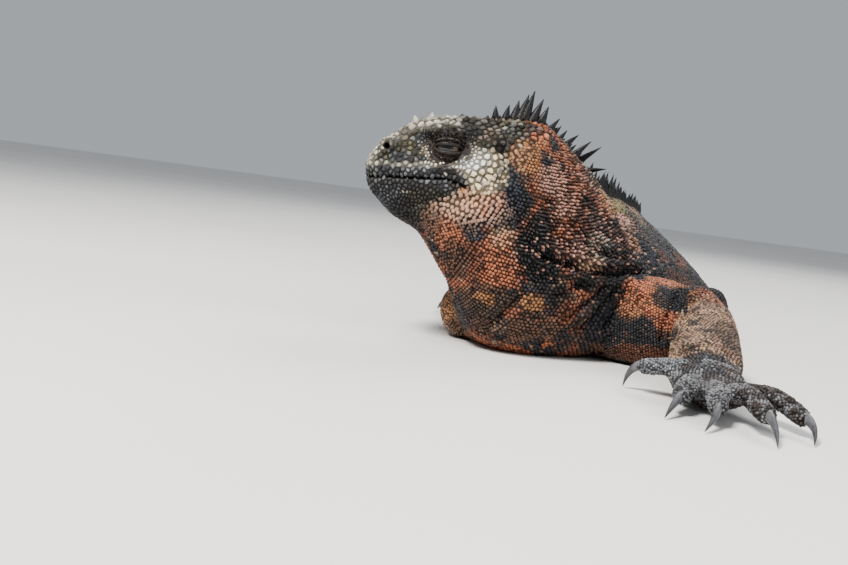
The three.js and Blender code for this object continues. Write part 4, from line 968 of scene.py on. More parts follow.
def domeMesh(name, sides, rings, lean):      # one scale, 1 across and 1 high; rings: radius and height
    points, crown = [], []
    for radius, height in rings:
        for corner in range(sides):
            angle = 2 * math.pi * (corner + 0.5) / sides
            points.append((radius * math.cos(angle), radius * math.sin(angle) + lean * max(height, 0), height))
            crown.append(max(height, 0))
    points.append((0, lean, 1))
    crown.append(1)
    faces = []
    for ring in range(len(rings) - 1):
        for corner in range(sides):
            following = (corner + 1) % sides
            faces.append([ring * sides + corner, ring * sides + following, (ring + 1) * sides + following, (ring + 1) * sides + corner])
    last = (len(rings) - 1) * sides
    faces += [[last + corner, last + (corner + 1) % sides, len(points) - 1] for corner in range(sides)]
    piece = meshObject(name, np.array(points), faces)
    piece.data.transform(Matrix.Scale(1, 4))
    putAttribute(piece.data, "crown", "FLOAT", "POINT", crown)
    putAttribute(piece.data, "onDome", "FLOAT_VECTOR", "POINT", [(p[0], p[1], 0) for p in points])
    return piece


def coatTree(name):                          # instances of one scale on the root points, realized
    tree = bpy.data.node_groups.new(name, "GeometryNodeTree")
    face = tree.interface
    face.new_socket("Roots", in_out="INPUT", socket_type="NodeSocketGeometry")
    for label, kind in (("Scale", "NodeSocketObject"), ("Width", "NodeSocketFloat"), ("Rise", "NodeSocketFloat"),
                        ("Wobble", "NodeSocketFloat"), ("Patch", "NodeSocketFloat"), ("Finish", "NodeSocketMaterial"),
                        ("Seed", "NodeSocketInt")):
        face.new_socket(label, in_out="INPUT", socket_type=kind)
    face.new_socket("Coat", in_out="OUTPUT", socket_type="NodeSocketGeometry")
    nodes, links = tree.nodes, tree.links
    start, end = nodes.new("NodeGroupInput"), nodes.new("NodeGroupOutput")

    def named(label):
        node = nodes.new("GeometryNodeInputNamedAttribute")
        node.data_type = "FLOAT_VECTOR"
        node.inputs["Name"].default_value = label
        return node.outputs["Attribute"]

    def math3(operation, first, second=None, scale=None):
        node = nodes.new("ShaderNodeVectorMath")
        node.operation = operation
        links.new(first, node.inputs[0])
        if second is not None:
            links.new(second, node.inputs[1])
        if scale is not None:
            links.new(scale, node.inputs["Scale"])
        return node.outputs[0]
    scaleObject = nodes.new("GeometryNodeObjectInfo")
    links.new(start.outputs["Scale"], scaleObject.inputs["Object"])
    stand = nodes.new("FunctionNodeAlignRotationToVector")
    stand.axis = "Z"
    links.new(named("outward"), stand.inputs["Vector"])
    point = nodes.new("FunctionNodeAlignRotationToVector")
    point.axis, point.pivot_axis = "Y", "Z"
    links.new(stand.outputs["Rotation"], point.inputs["Rotation"])
    links.new(named("lie"), point.inputs["Vector"])
    wobble = nodes.new("FunctionNodeRandomValue")
    wobble.data_type = "FLOAT"
    links.new(start.outputs["Wobble"], wobble.inputs[3])
    negative = nodes.new("ShaderNodeMath")
    negative.operation = "MULTIPLY"
    negative.inputs[1].default_value = -1
    links.new(start.outputs["Wobble"], negative.inputs[0])
    links.new(negative.outputs[0], wobble.inputs[2])
    links.new(start.outputs["Seed"], wobble.inputs["Seed"])
    twist = nodes.new("FunctionNodeAxisAngleToRotation")
    twist.inputs["Axis"].default_value = (0, 0, 1)
    links.new(wobble.outputs[1], twist.inputs["Angle"])
    turned = nodes.new("FunctionNodeRotateRotation")
    turned.rotation_space = "LOCAL"
    links.new(point.outputs["Rotation"], turned.inputs["Rotation"])
    links.new(twist.outputs[0], turned.inputs["Rotate By"])
    size = nodes.new("ShaderNodeCombineXYZ")
    for label, socket in (("Width", "X"), ("Width", "Y"), ("Rise", "Z")):
        links.new(start.outputs[label], size.inputs[socket])
    place = nodes.new("GeometryNodeInstanceOnPoints")
    links.new(start.outputs["Roots"], place.inputs["Points"])
    links.new(scaleObject.outputs["Geometry"], place.inputs["Instance"])
    links.new(turned.outputs["Rotation"], place.inputs["Rotation"])
    links.new(math3("MULTIPLY", named("size"), size.outputs[0]), place.inputs["Scale"])
    real = nodes.new("GeometryNodeRealizeInstances")
    links.new(place.outputs["Instances"], real.inputs["Geometry"])
    store = nodes.new("GeometryNodeStoreNamedAttribute")
    store.data_type, store.domain = "FLOAT2", "CORNER"
    store.inputs["Name"].default_value = "OFBake"
    links.new(real.outputs["Geometry"], store.inputs["Geometry"])
    patch = math3("SCALE", named("onDome"), scale=start.outputs["Patch"])
    links.new(math3("ADD", named("unwrapAt"), patch), store.inputs["Value"])
    dress = nodes.new("GeometryNodeSetMaterial")
    links.new(store.outputs["Geometry"], dress.inputs["Geometry"])
    links.new(start.outputs["Finish"], dress.inputs["Material"])
    links.new(dress.outputs["Geometry"], end.inputs["Coat"])
    return tree


def growCoat(name, tree, scale, finish, rows, settings):   # rows: place, outward, lie, size, pigment (base colour with painted shade), tip (pale tip colour with painted highlight), unwrap
    piece = meshObject(name, rows["place"], [])
    mesh = piece.data
    putAttribute(mesh, "outward", "FLOAT_VECTOR", "POINT", rows["outward"])
    putAttribute(mesh, "lie", "FLOAT_VECTOR", "POINT", rows["lie"])
    putAttribute(mesh, "size", "FLOAT_VECTOR", "POINT", rows["size"])
    putAttribute(mesh, "unwrapAt", "FLOAT_VECTOR", "POINT", np.column_stack([rows["unwrap"], np.zeros(len(rows["place"]))]))
    # the pigment attribute holds the base colour with painted shade, the tip attribute the tip colour with painted
    # highlight
    putAttribute(mesh, "pigment", "FLOAT_COLOR", "POINT", withAlpha(rows["pigment"]))
    putAttribute(mesh, "tipPigmentAndHighlight", "FLOAT_COLOR", "POINT", withAlpha(rows["tip"]))
    modifier = piece.modifiers.new("coat", "NODES")
    modifier.node_group = tree
    for item in tree.interface.items_tree:
        if item.in_out == "INPUT" and item.name in settings:
            modifier[item.identifier] = settings[item.name]
        elif item.in_out == "INPUT" and item.name == "Scale":
            modifier[item.identifier] = scale
        elif item.in_out == "INPUT" and item.name == "Finish":
            modifier[item.identifier] = finish
    evaluatedMesh(piece)
    for label in ("outward", "lie", "size", "unwrapAt", "onDome"):
        if label in piece.data.attributes:
            piece.data.attributes.remove(piece.data.attributes[label])
    piece.data.shade_smooth()
    return piece


# Materials
def newMaterial(name):
    material = bpy.data.materials.new(name)
    material.use_nodes = True
    tree = material.node_tree
    return material, tree, tree.nodes["Principled BSDF"]


def noiseNode(tree, scale, detail=3, place=None):
    node = tree.nodes.new("ShaderNodeTexNoise")
    node.inputs["Scale"].default_value = scale
    node.inputs["Detail"].default_value = detail
    if place is not None:
        tree.links.new(place, node.inputs["Vector"])
    return node.outputs["Fac"]


def objectPlace(tree):
    return tree.nodes.new("ShaderNodeTexCoord").outputs["Object"]


def rampNode(tree, value, stops):
    node = tree.nodes.new("ShaderNodeValToRGB")
    tree.links.new(value, node.inputs[0])
    while len(node.color_ramp.elements) < len(stops):
        node.color_ramp.elements.new(0.5)
    for element, (at, grey) in zip(node.color_ramp.elements, stops):
        element.position = at
        element.color = (grey, grey, grey, 1) if isinstance(grey, (int, float)) else (*grey, 1)
    return node.outputs[0]


def blendNode(tree, how, share, first, second):
    node = tree.nodes.new("ShaderNodeMix")
    node.data_type, node.blend_type = "RGBA", how
    for value, socket in ((share, node.inputs[0]), (first, node.inputs[6]), (second, node.inputs[7])):
        if isinstance(value, (int, float)):
            socket.default_value = value
        elif isinstance(value, tuple):
            socket.default_value = (*value, 1)
        else:
            tree.links.new(value, socket)
    return node.outputs[2]


def bumpNode(tree, height, distance, strength):
    node = tree.nodes.new("ShaderNodeBump")
    node.inputs["Distance"].default_value = distance
    node.inputs["Strength"].default_value = strength
    tree.links.new(height, node.inputs["Height"])
    return node.outputs[0]


def attributeNode(tree, name):
    node = tree.nodes.new("ShaderNodeAttribute")
    node.attribute_name = name
    return node


def hideMaterial(name, settings):            # reptile skin: pigment, painted shade in the low places round each scale's base, the tip colour towards the crown with painted highlight on scales and scutes, dry sheen
    material, tree, shader = newMaterial(name)
    place = objectPlace(tree)
    colour = attributeNode(tree, "pigment").outputs["Color"]
    if settings["crown"]:
        crown = attributeNode(tree, "crown").outputs["Fac"]
        # painted shade: darker towards each scale's base
        low = rampNode(tree, crown, [(0, settings["edge"]), (0.35, 0.85), (0.7, 1.0)])
        colour = blendNode(tree, "MULTIPLY", 1.0, colour, low)
        # the tip colour takes over towards the crown; on scales and scutes it carries painted highlight
        tipColourAndHighlightShare = rampNode(tree, crown, [(0.12, 0.0), (0.66, 1.0)])
        colour = blendNode(tree, "MIX", tipColourAndHighlightShare, colour, attributeNode(tree, "tipPigmentAndHighlight").outputs["Color"])
    grain = rampNode(tree, noiseNode(tree, settings["grain"], 4, place), [(0.3, settings["dark"]), (0.7, settings["light"])])
    colour = blendNode(tree, "MULTIPLY", 1.0, colour, grain)
    tree.links.new(colour, shader.inputs["Base Color"])
    rough = rampNode(tree, noiseNode(tree, settings["grain"] * 0.4, 2, place), [(0.3, settings["rough"][0]), (0.7, settings["rough"][1])])
    tree.links.new(rough, shader.inputs["Roughness"])
    shader.inputs["Specular IOR Level"].default_value = settings["gloss"]
    tree.links.new(bumpNode(tree, noiseNode(tree, settings["grain"] * 1.6, 5, place), settings["bump"], 0.7), shader.inputs["Normal"])
    return material


skinFinish = hideMaterial("bareSkin", {"crown": False, "edge": 1, "grain": 900, "dark": 0.62, "light": 1.15,
                                       "rough": (0.62, 0.8), "gloss": 0.3, "bump": 0.00025})
scaleFinish = hideMaterial("drySkinScales", {"crown": True, "edge": 0.3, "grain": 1100, "dark": 0.78, "light": 1.12,
                                             "rough": (0.5, 0.7), "gloss": 0.36, "bump": 0.00015})
scuteFinish = hideMaterial("headScutes", {"crown": True, "edge": 0.34, "grain": 1000, "dark": 0.66, "light": 1.16,
                                          "rough": (0.6, 0.82), "gloss": 0.28, "bump": 0.00025})
spineFinish = hideMaterial("crestHorn", {"crown": True, "edge": 0.8, "grain": 700, "dark": 0.7, "light": 1.15,
                                         "rough": (0.4, 0.6), "gloss": 0.42, "bump": 0.0002})
skin.data.materials.append(skinFinish)

scaleTree = coatTree("scaleCoat")
coatPieces = []
domes = {"bead": domeMesh("scaleBead", 6, [(0.52, -0.35), (0.42, 0.45), (0.24, 0.86)], 0.0),
         "fine": domeMesh("scaleFine", 6, [(0.52, -0.3), (0.36, 0.62)], 0.05),
         "spike": domeMesh("scaleSpike", 6, [(0.53, -0.35), (0.37, 0.42), (0.15, 0.84)], 0.32),
         "keel": domeMesh("scaleKeel", 6, [(0.53, -0.3), (0.40, 0.42), (0.18, 0.82)], 0.10)}
coatGroups = {
    "napeScales": shoulderShare > 0.3, "neckScales": onThroat, "trunkScales": onBody & ~onThroat,
    "tailScales": rootNames == "tail", "armScales": onArm, "legScales": rootsOn("leg"),
    "pawScales": rootsOn("palm") | rootsOn("digit"),
}
domeOf = {"neckScales": "bead", "napeScales": "spike", "armScales": "fine", "pawScales": "fine"}
taken = np.zeros(len(roots), bool)
limit = 6400                                  # scales a piece, so that none passes 200,000 triangles
for name, chosen in coatGroups.items():
    chosen = np.flatnonzero(chosen & ~taken)
    taken[chosen] = True
    for number, block in enumerate(np.array_split(chosen, max(1, math.ceil(len(chosen) / limit)))):
        size = np.column_stack([pitch[block] * mix(1.06, 1.22, jowl[block]) * mix(0.87, 1.12, chance.random(len(block))),
                                pitch[block] * lengths[block] * 1.06 * mix(0.88, 1.12, chance.random(len(block))), rises[block]])
        piece = growCoat(f"{name}_{number + 1}", scaleTree, domes[domeOf.get(name, "keel")], scaleFinish,
                         {"place": roots[block], "outward": outward[block], "lie": lie[block], "size": size,
                          "pigment": scalePigmentAndBaseShade[block], "tip": tipPaleAndHighlight[block], "unwrap": rootChart["unwrap"][block]},
                         {"Width": 1.0, "Rise": 1.0, "Wobble": 0.25, "Patch": 0.0013, "Seed": 11})
        coatPieces.append(piece)
print("stage: scales grown,", sum(len(p.data.vertices) for p in coatPieces), "points in", len(coatPieces), "pieces")

# Eyes: a ball with iris and pupil under heavy lids drawn to a slit
lidForm = {"halfWidth": 61, "upper": 8, "lower": 12, "reach": 62}
eyeMaterial, tree, shader = newMaterial("wetEye")
radial = attributeNode(tree, "fromPupil").outputs["Fac"]
iris = rampNode(tree, radial, [(0.16, (0.003, 0.003, 0.003)), (0.19, (0.035, 0.02, 0.012)), (0.42, (0.055, 0.034, 0.018)), (0.5, (0.008, 0.007, 0.006))])
streaks = rampNode(tree, noiseNode(tree, 900, 3, objectPlace(tree)), [(0.35, 0.6), (0.65, 1.3)])
tree.links.new(blendNode(tree, "MULTIPLY", 1.0, iris, streaks), shader.inputs["Base Color"])
shader.inputs["Roughness"].default_value = 0.12
shader.inputs["Coat Weight"].default_value = 0.6
shader.inputs["Coat Roughness"].default_value = 0.05
lidFinish = hideMaterial("lidSkin", {"crown": False, "edge": 1, "grain": 1200, "dark": 0.7, "light": 1.2,
                                     "rough": (0.5, 0.7), "gloss": 0.35, "bump": 0.0002})
eyePieces, lidPieces = [], []
for word, sign in (("left", 1), ("right", -1)):
    centre = eyeCentres[word]
    outside = headLeft * sign
    axes = np.array([outside, headForward, [0, 0, 1.0]])
    points, faces = ballMesh(centre, axes, (eye["radius"],) * 3, rings=26, sides=40)
    ball = meshObject(f"eyeball_{word}", points, faces)
    turnFacesOut(ball.data)
    ball.data.shade_smooth()
    away = unit(points - centre)
    turnedOff = np.arccos(np.clip(dots(away, unit(outside + headForward * 0.16)), -1, 1))
    putAttribute(ball.data, "fromPupil", "FLOAT", "POINT", turnedOff / math.pi * 1.6)
    ball.data.materials.append(eyeMaterial)
    eyePieces.append(ball)
    around, deep = 72, 22
    points, tone = [], []
    for k in range(around):
        turn = 2 * math.pi * k / around
        a0 = lidForm["halfWidth"] * math.cos(turn)
        b0 = (lidForm["upper"] if math.sin(turn) > 0 else lidForm["lower"]) * np.sign(math.sin(turn)) * abs(math.sin(turn)) ** 1.15 - 1.5
        out = np.array([math.cos(turn) * 0.55, math.sin(turn) * 1.0])
        for d in range(deep):
            away = lidForm["reach"] * (d - 2) / (deep - 3) if d > 1 else 0.0
            a, b = a0 + out[0] * away * 0.7, b0 + out[1] * away
            roll = ramp(0, 6, away)
            radius = eye["radius"] + (0.05, 0.35, 0.6)[min(d, 2)] + 0.5 * roll
            beads = 0.16 * math.sin(k * math.pi * 0.5) * math.exp(-((away - 7) / 4) ** 2)
            folded = 1.0 if math.sin(turn) > 0 else 0.55
            crease = -0.75 * math.exp(-((away - 18) / 4) ** 2) - 0.6 * math.exp(-((away - 35) / 5) ** 2) + 0.6 * math.exp(-((away - 27) / 5) ** 2)
            radius += crease * folded * (0.75 + 0.25 * math.sin(k * 0.9)) + beads
            ar, br = math.radians(a), math.radians(np.clip(b, -88, 88))
            direction = outside * math.cos(ar) * math.cos(br) + headForward * math.sin(ar) * math.cos(br) + np.array([0, 0, math.sin(br)])
            onBall = centre + direction * radius
            if away > 30:                    # the outer lid runs out over the face
                wide = np.array([math.sin(ar) * math.cos(br), math.sin(br)])
                wide = wide / np.linalg.norm(wide) * mix(5.6, 10.2, (away - 30) / (lidForm["reach"] - 30))
                start = centre + headForward * wide[0] + np.array([0, 0, wide[1]]) + outside * 22
                hit = wholeFace.ray_cast(Vector(start), Vector(-outside))[0]
                if hit is not None:
                    onBall = mix(onBall, np.array(hit) - outside * 0.25 * ramp(52, 62, away), ramp(30, 52, away))
            points.append(onBall)
            tone.append(away)
    faces = [[k * deep + d, ((k + 1) % around) * deep + d, ((k + 1) % around) * deep + d + 1, k * deep + d + 1]
             for k in range(around) for d in range(deep - 1)]
    lid = meshObject(f"eyelids_{word}", np.array(points), faces if sign < 0 else [face[::-1] for face in faces])
    tone = np.array(tone)
    lidPigmentAndHighlight = mix(pigments["charcoal"], pigments["umber"], cellNoise(np.array(points), 2.5, 61)[:, None])
    # painted highlight: the lid margin a little lighter
    margin = (ramp(9, 4, tone) * ramp(0.5, 3, tone))[:, None]
    lidPigmentAndHighlight = mix(lidPigmentAndHighlight, pigments["dusk"] * 1.2, margin * 0.4)
    # painted highlight: a pale band along the upper lid's fold
    lidPigmentAndHighlight = mix(lidPigmentAndHighlight, pigments["stone"], (ramp(22, 27, tone) * ramp(36, 30, tone) * (np.array(points)[:, 2] > centre[2]))[:, None] * 0.22)
    putAttribute(lid.data, "pigment", "FLOAT_COLOR", "POINT", withAlpha(lidPigmentAndHighlight))
    lid.data.materials.append(lidFinish)
    lidPieces.append(lid)
print("stage: eyes and lids")

# Head scutes: cells between seeds, each raised to a cone, a granule or a crusted plate
scuteForm = {"angles": 10, "gap": 0.11}


def scuteKind(points):                       # spacing, height and flatness (0 cone, 1 plate) by place on the head
    s, side, z = headPlace(points)
    width = np.abs(side)
    spacing, height, flat = np.full(len(points), 2.7), np.full(len(points), 0.9), np.full(len(points), 0.25)

    def lay(weight, newSpacing, newHeight, newFlat):
        nonlocal spacing, height, flat
        spacing, height, flat = mix(spacing, newSpacing, weight), mix(height, newHeight, weight), mix(flat, newFlat, weight)
    crown = crownHeight(s)
    onTop = ramp(9, 3, crown - z)
    lay(onTop * ramp(8, 20, s), 3.8, 1.5, 0.0)
    lay(onTop * ramp(30, 42, s) * ramp(60, 52, s), 3.8, 1.3, 0.05)
    lay(onTop * ramp(20, 8, s), 3.2, 1.5, 0.1)
    lay(onTop * ramp(52, 58, s), 3.0, 0.8, 0.2)
    lay(ramp(1, 0.6, np.hypot((s - 16) / 11.5, (z - 77.5) / 7.5)), 3.5, 0.95, 0.9)
    eyeGap = np.hypot((s - eye["s"]) / 1.2, z - eye["z"])
    lay((width > 8) * ramp(12, 9, eyeGap) * (z < 90.5), 1.3, 0.5, 0.2)
    lay(ramp(3.6, 2.6, np.abs(z - mouthHeight(s) - 3)) * ramp(20, 26, s), 2.3, 0.7, 0.6)
    lay(ramp(3.2, 2.4, np.abs(z - mouthHeight(s) + 2.6)) * ramp(20, 26, s), 2.2, 0.6, 0.6)
    lay(ramp(4.6, 3.4, noseGapOf(s, z)) * (width > 5), 1.9, 0.6, 0.4)
    lay((z < mouth["height"] - 5).astype(float), 1.9, 0.45, 0.3)
    lay(ramp(3.2, 4.6, mouthHeight(s) - z), 1.7, 0.5, 0.3)
    lay(ramp(3.6, 2.8, np.abs(z - mouthHeight(s))) * ramp(20, 26, s), 2.2, 0.4, 0.9)
    return spacing, height, flat


seeds = sprinkle(sprinkled["head"], np.flatnonzero(faceShare(corners.mean(axis=1)) > 0.5))


def freeOfHoles(points):                     # no scute over the eyeballs, in the nostrils or in the mouth
    s, side, z = headPlace(points)
    clear = (noseGapOf(s, z) > 1.7) | (np.abs(side) < 5)
    clear &= (np.abs(z - mouthHeight(s)) > 0.6) | (s < 22)
    for centre in eyeCentres.values():
        away = points - centre
        reach = np.linalg.norm(away, axis=1)
        outward = dots(away, headLeft * np.sign(dots(centre - headLine["origin"], headLeft)))
        ahead = np.degrees(np.arctan2(dots(away, headForward), outward))
        rise = np.degrees(np.arcsin(np.clip(away[:, 2] / np.maximum(reach, 1e-6), -1, 1)))
        margin = np.hypot(ahead / 74, (rise + 1.5) / np.where(rise > -1.5, 23, 27))
        clear &= (reach > 10.5) | ((reach > eye["radius"] + 0.35) & (outward > 0) & (margin > 1))
    return clear


for lid in lidPieces:                        # the lids carry granules too, out from their edge
    lidPoints = pointsOf(lid.data)
    lidCorners = np.array([[face.vertices[0], face.vertices[k], face.vertices[k + 1]] for face in lid.data.polygons for k in (1, 2)])
    lidCorners = lidPoints[lidCorners[chance.random(len(lidCorners)) < 1.0]]
    seeds = np.concatenate([seeds, mix(lidCorners[:, 0], lidCorners[:, 1], 0.5), lidCorners.mean(axis=1)])
seeds = seeds[chance.permutation(len(seeds))]
seeds = seeds[freeOfHoles(seeds)]
pool = seeds[:20000]
spacing, _, _ = scuteKind(seeds)
spacing = spacing * mix(0.72, 1.22, chance.random(len(seeds)))
kept = thin(seeds, spacing, 0.84)
seeds = seeds[kept]
for turnIndex in range(2):                   # evens out the cells
    seedKd = searchTree(seeds)
    owner = np.array([seedKd.find(point)[1] for point in pool])
    total = np.maximum(np.bincount(owner, minlength=len(seeds)), 1)
    middle = np.stack([np.bincount(owner, pool[:, k], len(seeds)) for k in range(3)], axis=1) / total[:, None]
    seeds = np.where((total > 2)[:, None], mix(seeds, middle, 0.5), seeds)
wholePoints, wholeFaces, wholeNormals = [skinPoints], list(skinFaces), [skinNormals]
for lid in lidPieces:
    start = sum(len(points) for points in wholePoints)
    wholePoints.append(pointsOf(lid.data))
    wholeNormals.append(normalsOf(lid.data))
    wholeFaces += [tuple(corner + start for corner in face.vertices) for face in lid.data.polygons]
wholePoints, wholeNormals = np.concatenate(wholePoints), np.concatenate(wholeNormals)
near = np.flatnonzero(headPlace(wholePoints)[0] > -16)
wholeTree = BVHTree.FromPolygons([tuple(p) for p in wholePoints], wholeFaces)
wholeKd = searchTree(wholePoints, near)


def onFaceSkin(points):
    places, outward = np.empty_like(points), np.empty_like(points)
    for index, point in enumerate(points):
        places[index] = wholeTree.find_nearest(point)[0]
        outward[index] = wholeNormals[wholeKd.find(places[index])[1]]
    return places, outward


seeds, seedNormal = onFaceSkin(seeds)
seedNormal = unit(seedNormal)
spacing, height, flat = scuteKind(seeds)
seedKd = searchTree(seeds)
backward = unit(-headForward - seedNormal * dots(seedNormal, -headForward[None, :])[:, None])
acrossHead = np.cross(seedNormal, backward)
count = scuteForm["angles"]
angles = np.linspace(0, 2 * math.pi, count, endpoint=False)
reach = np.full((len(seeds), count), 1e9)
for index, point in enumerate(seeds):
    others = np.array([seeds[j] for _, j, gap in seedKd.find_n(point, 13) if gap > 1e-6])
    away = others - point
    flatAway = np.stack([away @ backward[index], away @ acrossHead[index]], axis=1)
    length = np.linalg.norm(flatAway, axis=1)
    cosine = np.cos(angles[:, None] - np.arctan2(flatAway[:, 1], flatAway[:, 0])[None, :])
    distance = np.where(cosine > 0.08, length / 2 / np.maximum(cosine, 0.08), 1e9)
    reach[index] = np.minimum(distance.min(axis=1), spacing[index] * 0.85)
uneven = 1 - 0.55 * flat * (height < 0.45)      # lip plates stay even
reach = np.maximum(reach * (1 - 0.22 * chance.random(reach.shape) * uneven[:, None]) - scuteForm["gap"], 0.25)
edge = seeds[:, None, :] + reach[..., None] * (np.cos(angles)[None, :, None] * backward[:, None, :]
                                              + np.sin(angles)[None, :, None] * acrossHead[:, None, :])
edge = onFaceSkin(edge.reshape(-1, 3))[0].reshape(edge.shape)
rough = mix(0.8, 1.25, chance.random(len(seeds)))
hornPlaces = [(45, 3.5, 3.4), (43, -4, 3.2), (40.5, 8.5, 3.4), (38, 1, 3.6), (41, -9, 3.0), (47.5, 8, 2.2), (48, -2, 2.2), (34, 5, 2.6),
              (33, -6, 2.6), (29, 0, 2.4), (24, 8, 2.4), (22, -7, 2.4), (17, 3, 2.6), (12, 9, 2.6), (10, -8, 2.6), (5, 11, 2.4), (0, 12, 2.2)]
s, side, z = headPlace(seeds)
for s0, side0, horn in hornPlaces:           # a few tall horn cones among the low ones
    nearest = np.argmin(np.hypot(s - s0, side - side0) + 100 * (z < 86))
    height[nearest], flat[nearest] = horn, 0
tall = height * rough * np.clip(reach.mean(axis=1) / (spacing * 0.5), 0.5, 1.3)
up = seedNormal[:, None, :]
profile = [(1.0, -0.35 / np.maximum(tall, 0.2), -0.35 / np.maximum(tall, 0.2)), (0.9, 0.22, 0.55), (0.62, 0.5, 0.92), (0.3, 0.8, 1.0)]
leanBack = backward * (tall * 0.18)[:, None]
rings = []
for inset, cone, plate in profile:
    level = mix(cone, plate, flat)
    ring = seeds[:, None, :] + (edge - seeds[:, None, :]) * inset + up * (tall * level)[:, None, None]
    rings.append(ring + leanBack[:, None, :] * np.maximum(level, 0)[:, None, None])
for ring, amount in ((1, 0.25), (2, 0.4), (3, 0.3)):
    bumpy = (chance.random((len(seeds), count)) - 0.5) * (tall * amount * uneven)[:, None]
    rings[ring] = rings[ring] + up * bumpy[..., None]
apex = seeds + seedNormal * (tall * mix(1.0, 0.96, flat))[:, None] + leanBack
apex = apex + acrossHead * ((chance.random(len(seeds)) - 0.5) * spacing * 0.22 * uneven)[:, None]
block = np.concatenate(rings + [apex[:, None, :]], axis=1)
perScute = block.shape[1]
faces = []
for ring in range(3):
    a = ring * count + np.arange(count)
    b = ring * count + (np.arange(count) + 1) % count
    faces += np.stack([a, b, b + count, a + count], axis=1).tolist()
faces += [[3 * count + k, 3 * count + (k + 1) % count, perScute - 1] for k in range(count)]
allFaces = [[corner + number * perScute for corner in face] for number in range(len(seeds)) for face in faces]
scutes = meshObject("headScutes", block.reshape(-1, 3), allFaces)
seedChart = charted(seeds)
scutePigmentAndPaintedLight = pigmentAndPaintedLightAt(seeds, seedChart)
s, side, z = headPlace(seeds)
cheek = ramp(1.1, 0.8, np.hypot((s - 16) / 11.5, (z - 77.5) / 7.5))
darkScute = np.where(z > mouth["height"] + 1, 0.32, 0.16) * (1 - 0.6 * cheek)
scutePigmentAndPaintedLight = speckle(seeds, shade(scutePigmentAndPaintedLight, 0.75), darkScute, 0.12 * (1 - cheek), pigments["stone"])
# painted highlight: each scute's crown takes a lighter copy of its colour
tipColourAndHighlightShare = 0.8 * chance.random((len(seeds), 1)) + 0.1
scuteTipHighlight = np.clip(mix(scutePigmentAndPaintedLight, scutePigmentAndPaintedLight * 1.8 + 0.03, tipColourAndHighlightShare) * 1.05, 0, 0.85)
# painted shade: each scute darker towards its base
scutePigmentAndPaintedLight = scutePigmentAndPaintedLight * 0.4
levels = np.concatenate([np.full(count, level) for level in (0.0, 0.35, 0.75, 0.95)] + [[1.0]])
putAttribute(scutes.data, "pigment", "FLOAT_COLOR", "POINT", withAlpha(np.repeat(scutePigmentAndPaintedLight, perScute, axis=0)))
putAttribute(scutes.data, "tipPigmentAndHighlight", "FLOAT_COLOR", "POINT", withAlpha(np.repeat(scuteTipHighlight, perScute, axis=0)))
putAttribute(scutes.data, "crown", "FLOAT", "POINT", np.tile(levels, len(seeds)))
insets = np.concatenate([np.full(count, inset) for inset, _, _ in profile] + [[0.0]])
localTurn = np.concatenate([angles] * 4 + [[0.0]])
unwrapPoints = np.repeat(seedChart["unwrap"], perScute, axis=0) + 0.0015 * np.tile(
    np.stack([insets * np.cos(localTurn), insets * np.sin(localTurn)], axis=1), (len(seeds), 1))


def bakeMap(mesh, perPoint):
    loops = np.empty(len(mesh.loops), np.int32)
    mesh.loops.foreach_get("vertex_index", loops)
    layer = mesh.uv_layers.new(name="OFBake")
    layer.data.foreach_set("uv", perPoint[loops].astype(np.float32).ravel())


bakeMap(scutes.data, unwrapPoints)
scutes.data.materials.append(scuteFinish)
bakeMap(skin.data, skinChart["unwrap"])
print("stage: head scutes,", len(seeds), "scutes")

# Crest: tall horn blades on the crown and nape, a close row of lower ones along the back and tail
crownSpines = [(12.6, 6.2, -0.8), (8.6, 6.8, 0.2), (5, 8.8, 1.4), (2.6, 11.6, 2.4), (0.6, 13.4, 2.8), (-2.8, 10.6, 2.6), (-6.4, 7.8, 2.4)]
napeSpines = [(3.4, 6, 1.6, 2), (8.4, 4.4, 1, 2.5), (14.6, 5.4, 1, 2.2), (21, 7.6, 1.6, 4.2), (26.6, 5, 1, 2),
              (32, 9.8, 2, 6.4), (38.4, 9.8, 1.6, 10.4), (47.4, 4.6, 2.4, 12.6), (53.2, 5.4, 1.6, 3)]
crestForm = {"spacing": 3.1, "width": 3.6, "girth": 1.2}


def crestHeight(place):
    return np.maximum(12 * np.exp(-((place - 5.2) / 3.2) ** 2), mix(6.4, 1.8, np.clip((place - 8) / 20, 0, 1)))


spineRows = []
for s0, tall0, lean0 in crownSpines:
    spineRows.append((headPoint(s0, 0, headTop(s0)), np.array([0, 0, tall0]) - headForward * lean0, -headForward, tall0))
places = np.linspace(0, 28, 4000)
line = bodySurface(places, np.full(4000, math.pi / 2))
run = np.concatenate([[0], np.cumsum(np.linalg.norm(np.diff(line, axis=0), axis=1))])


def crestAt(distance, tall0, lean0, fall0):
    index = int(np.searchsorted(run, distance))
    along = unit(line[min(index + 20, 3999)] - line[max(index - 20, 0)])
    row = rowsAt(bodyStations, places[index])[0]
    yaw = math.radians(row[6])
    up = row[:3] - row[3:6]
    up = unit(up - along * (up @ along))
    aim = up * tall0 + np.array([math.cos(yaw), -math.sin(yaw), 0]) * fall0 + along * lean0
    spineRows.append((line[index], aim, along, tall0))


for row in napeSpines:
    crestAt(*row)
    if row[1] > 5:
        crestAt(row[0] + 2.6, row[1] * 0.5, row[2], row[3] * 0.4)
distance = 57.5
while distance < run[-1] - 3:
    place = float(np.interp(distance, run, places))
    tall0 = float(crestHeight(place)) * mix(0.72, 1.1, chance.random())
    crestAt(distance, tall0, tall0 * mix(0.15, 0.4, chance.random()), tall0 * mix(-0.1, 0.1, chance.random()))
    distance += max(crestForm["spacing"], tall0 * 0.38) * mix(0.9, 1.12, chance.random())
for s0, side0 in [(x, y) for x in np.arange(14, -9, -2.4) for y in (-2.4, 2.4)]:
    spineRows.append((headPoint(s0, side0, headTop(s0) - 0.4), np.array([0, 0, 2.4]) + headLeft * side0 * 0.4 - headForward * 0.6, -headForward, 2.2))

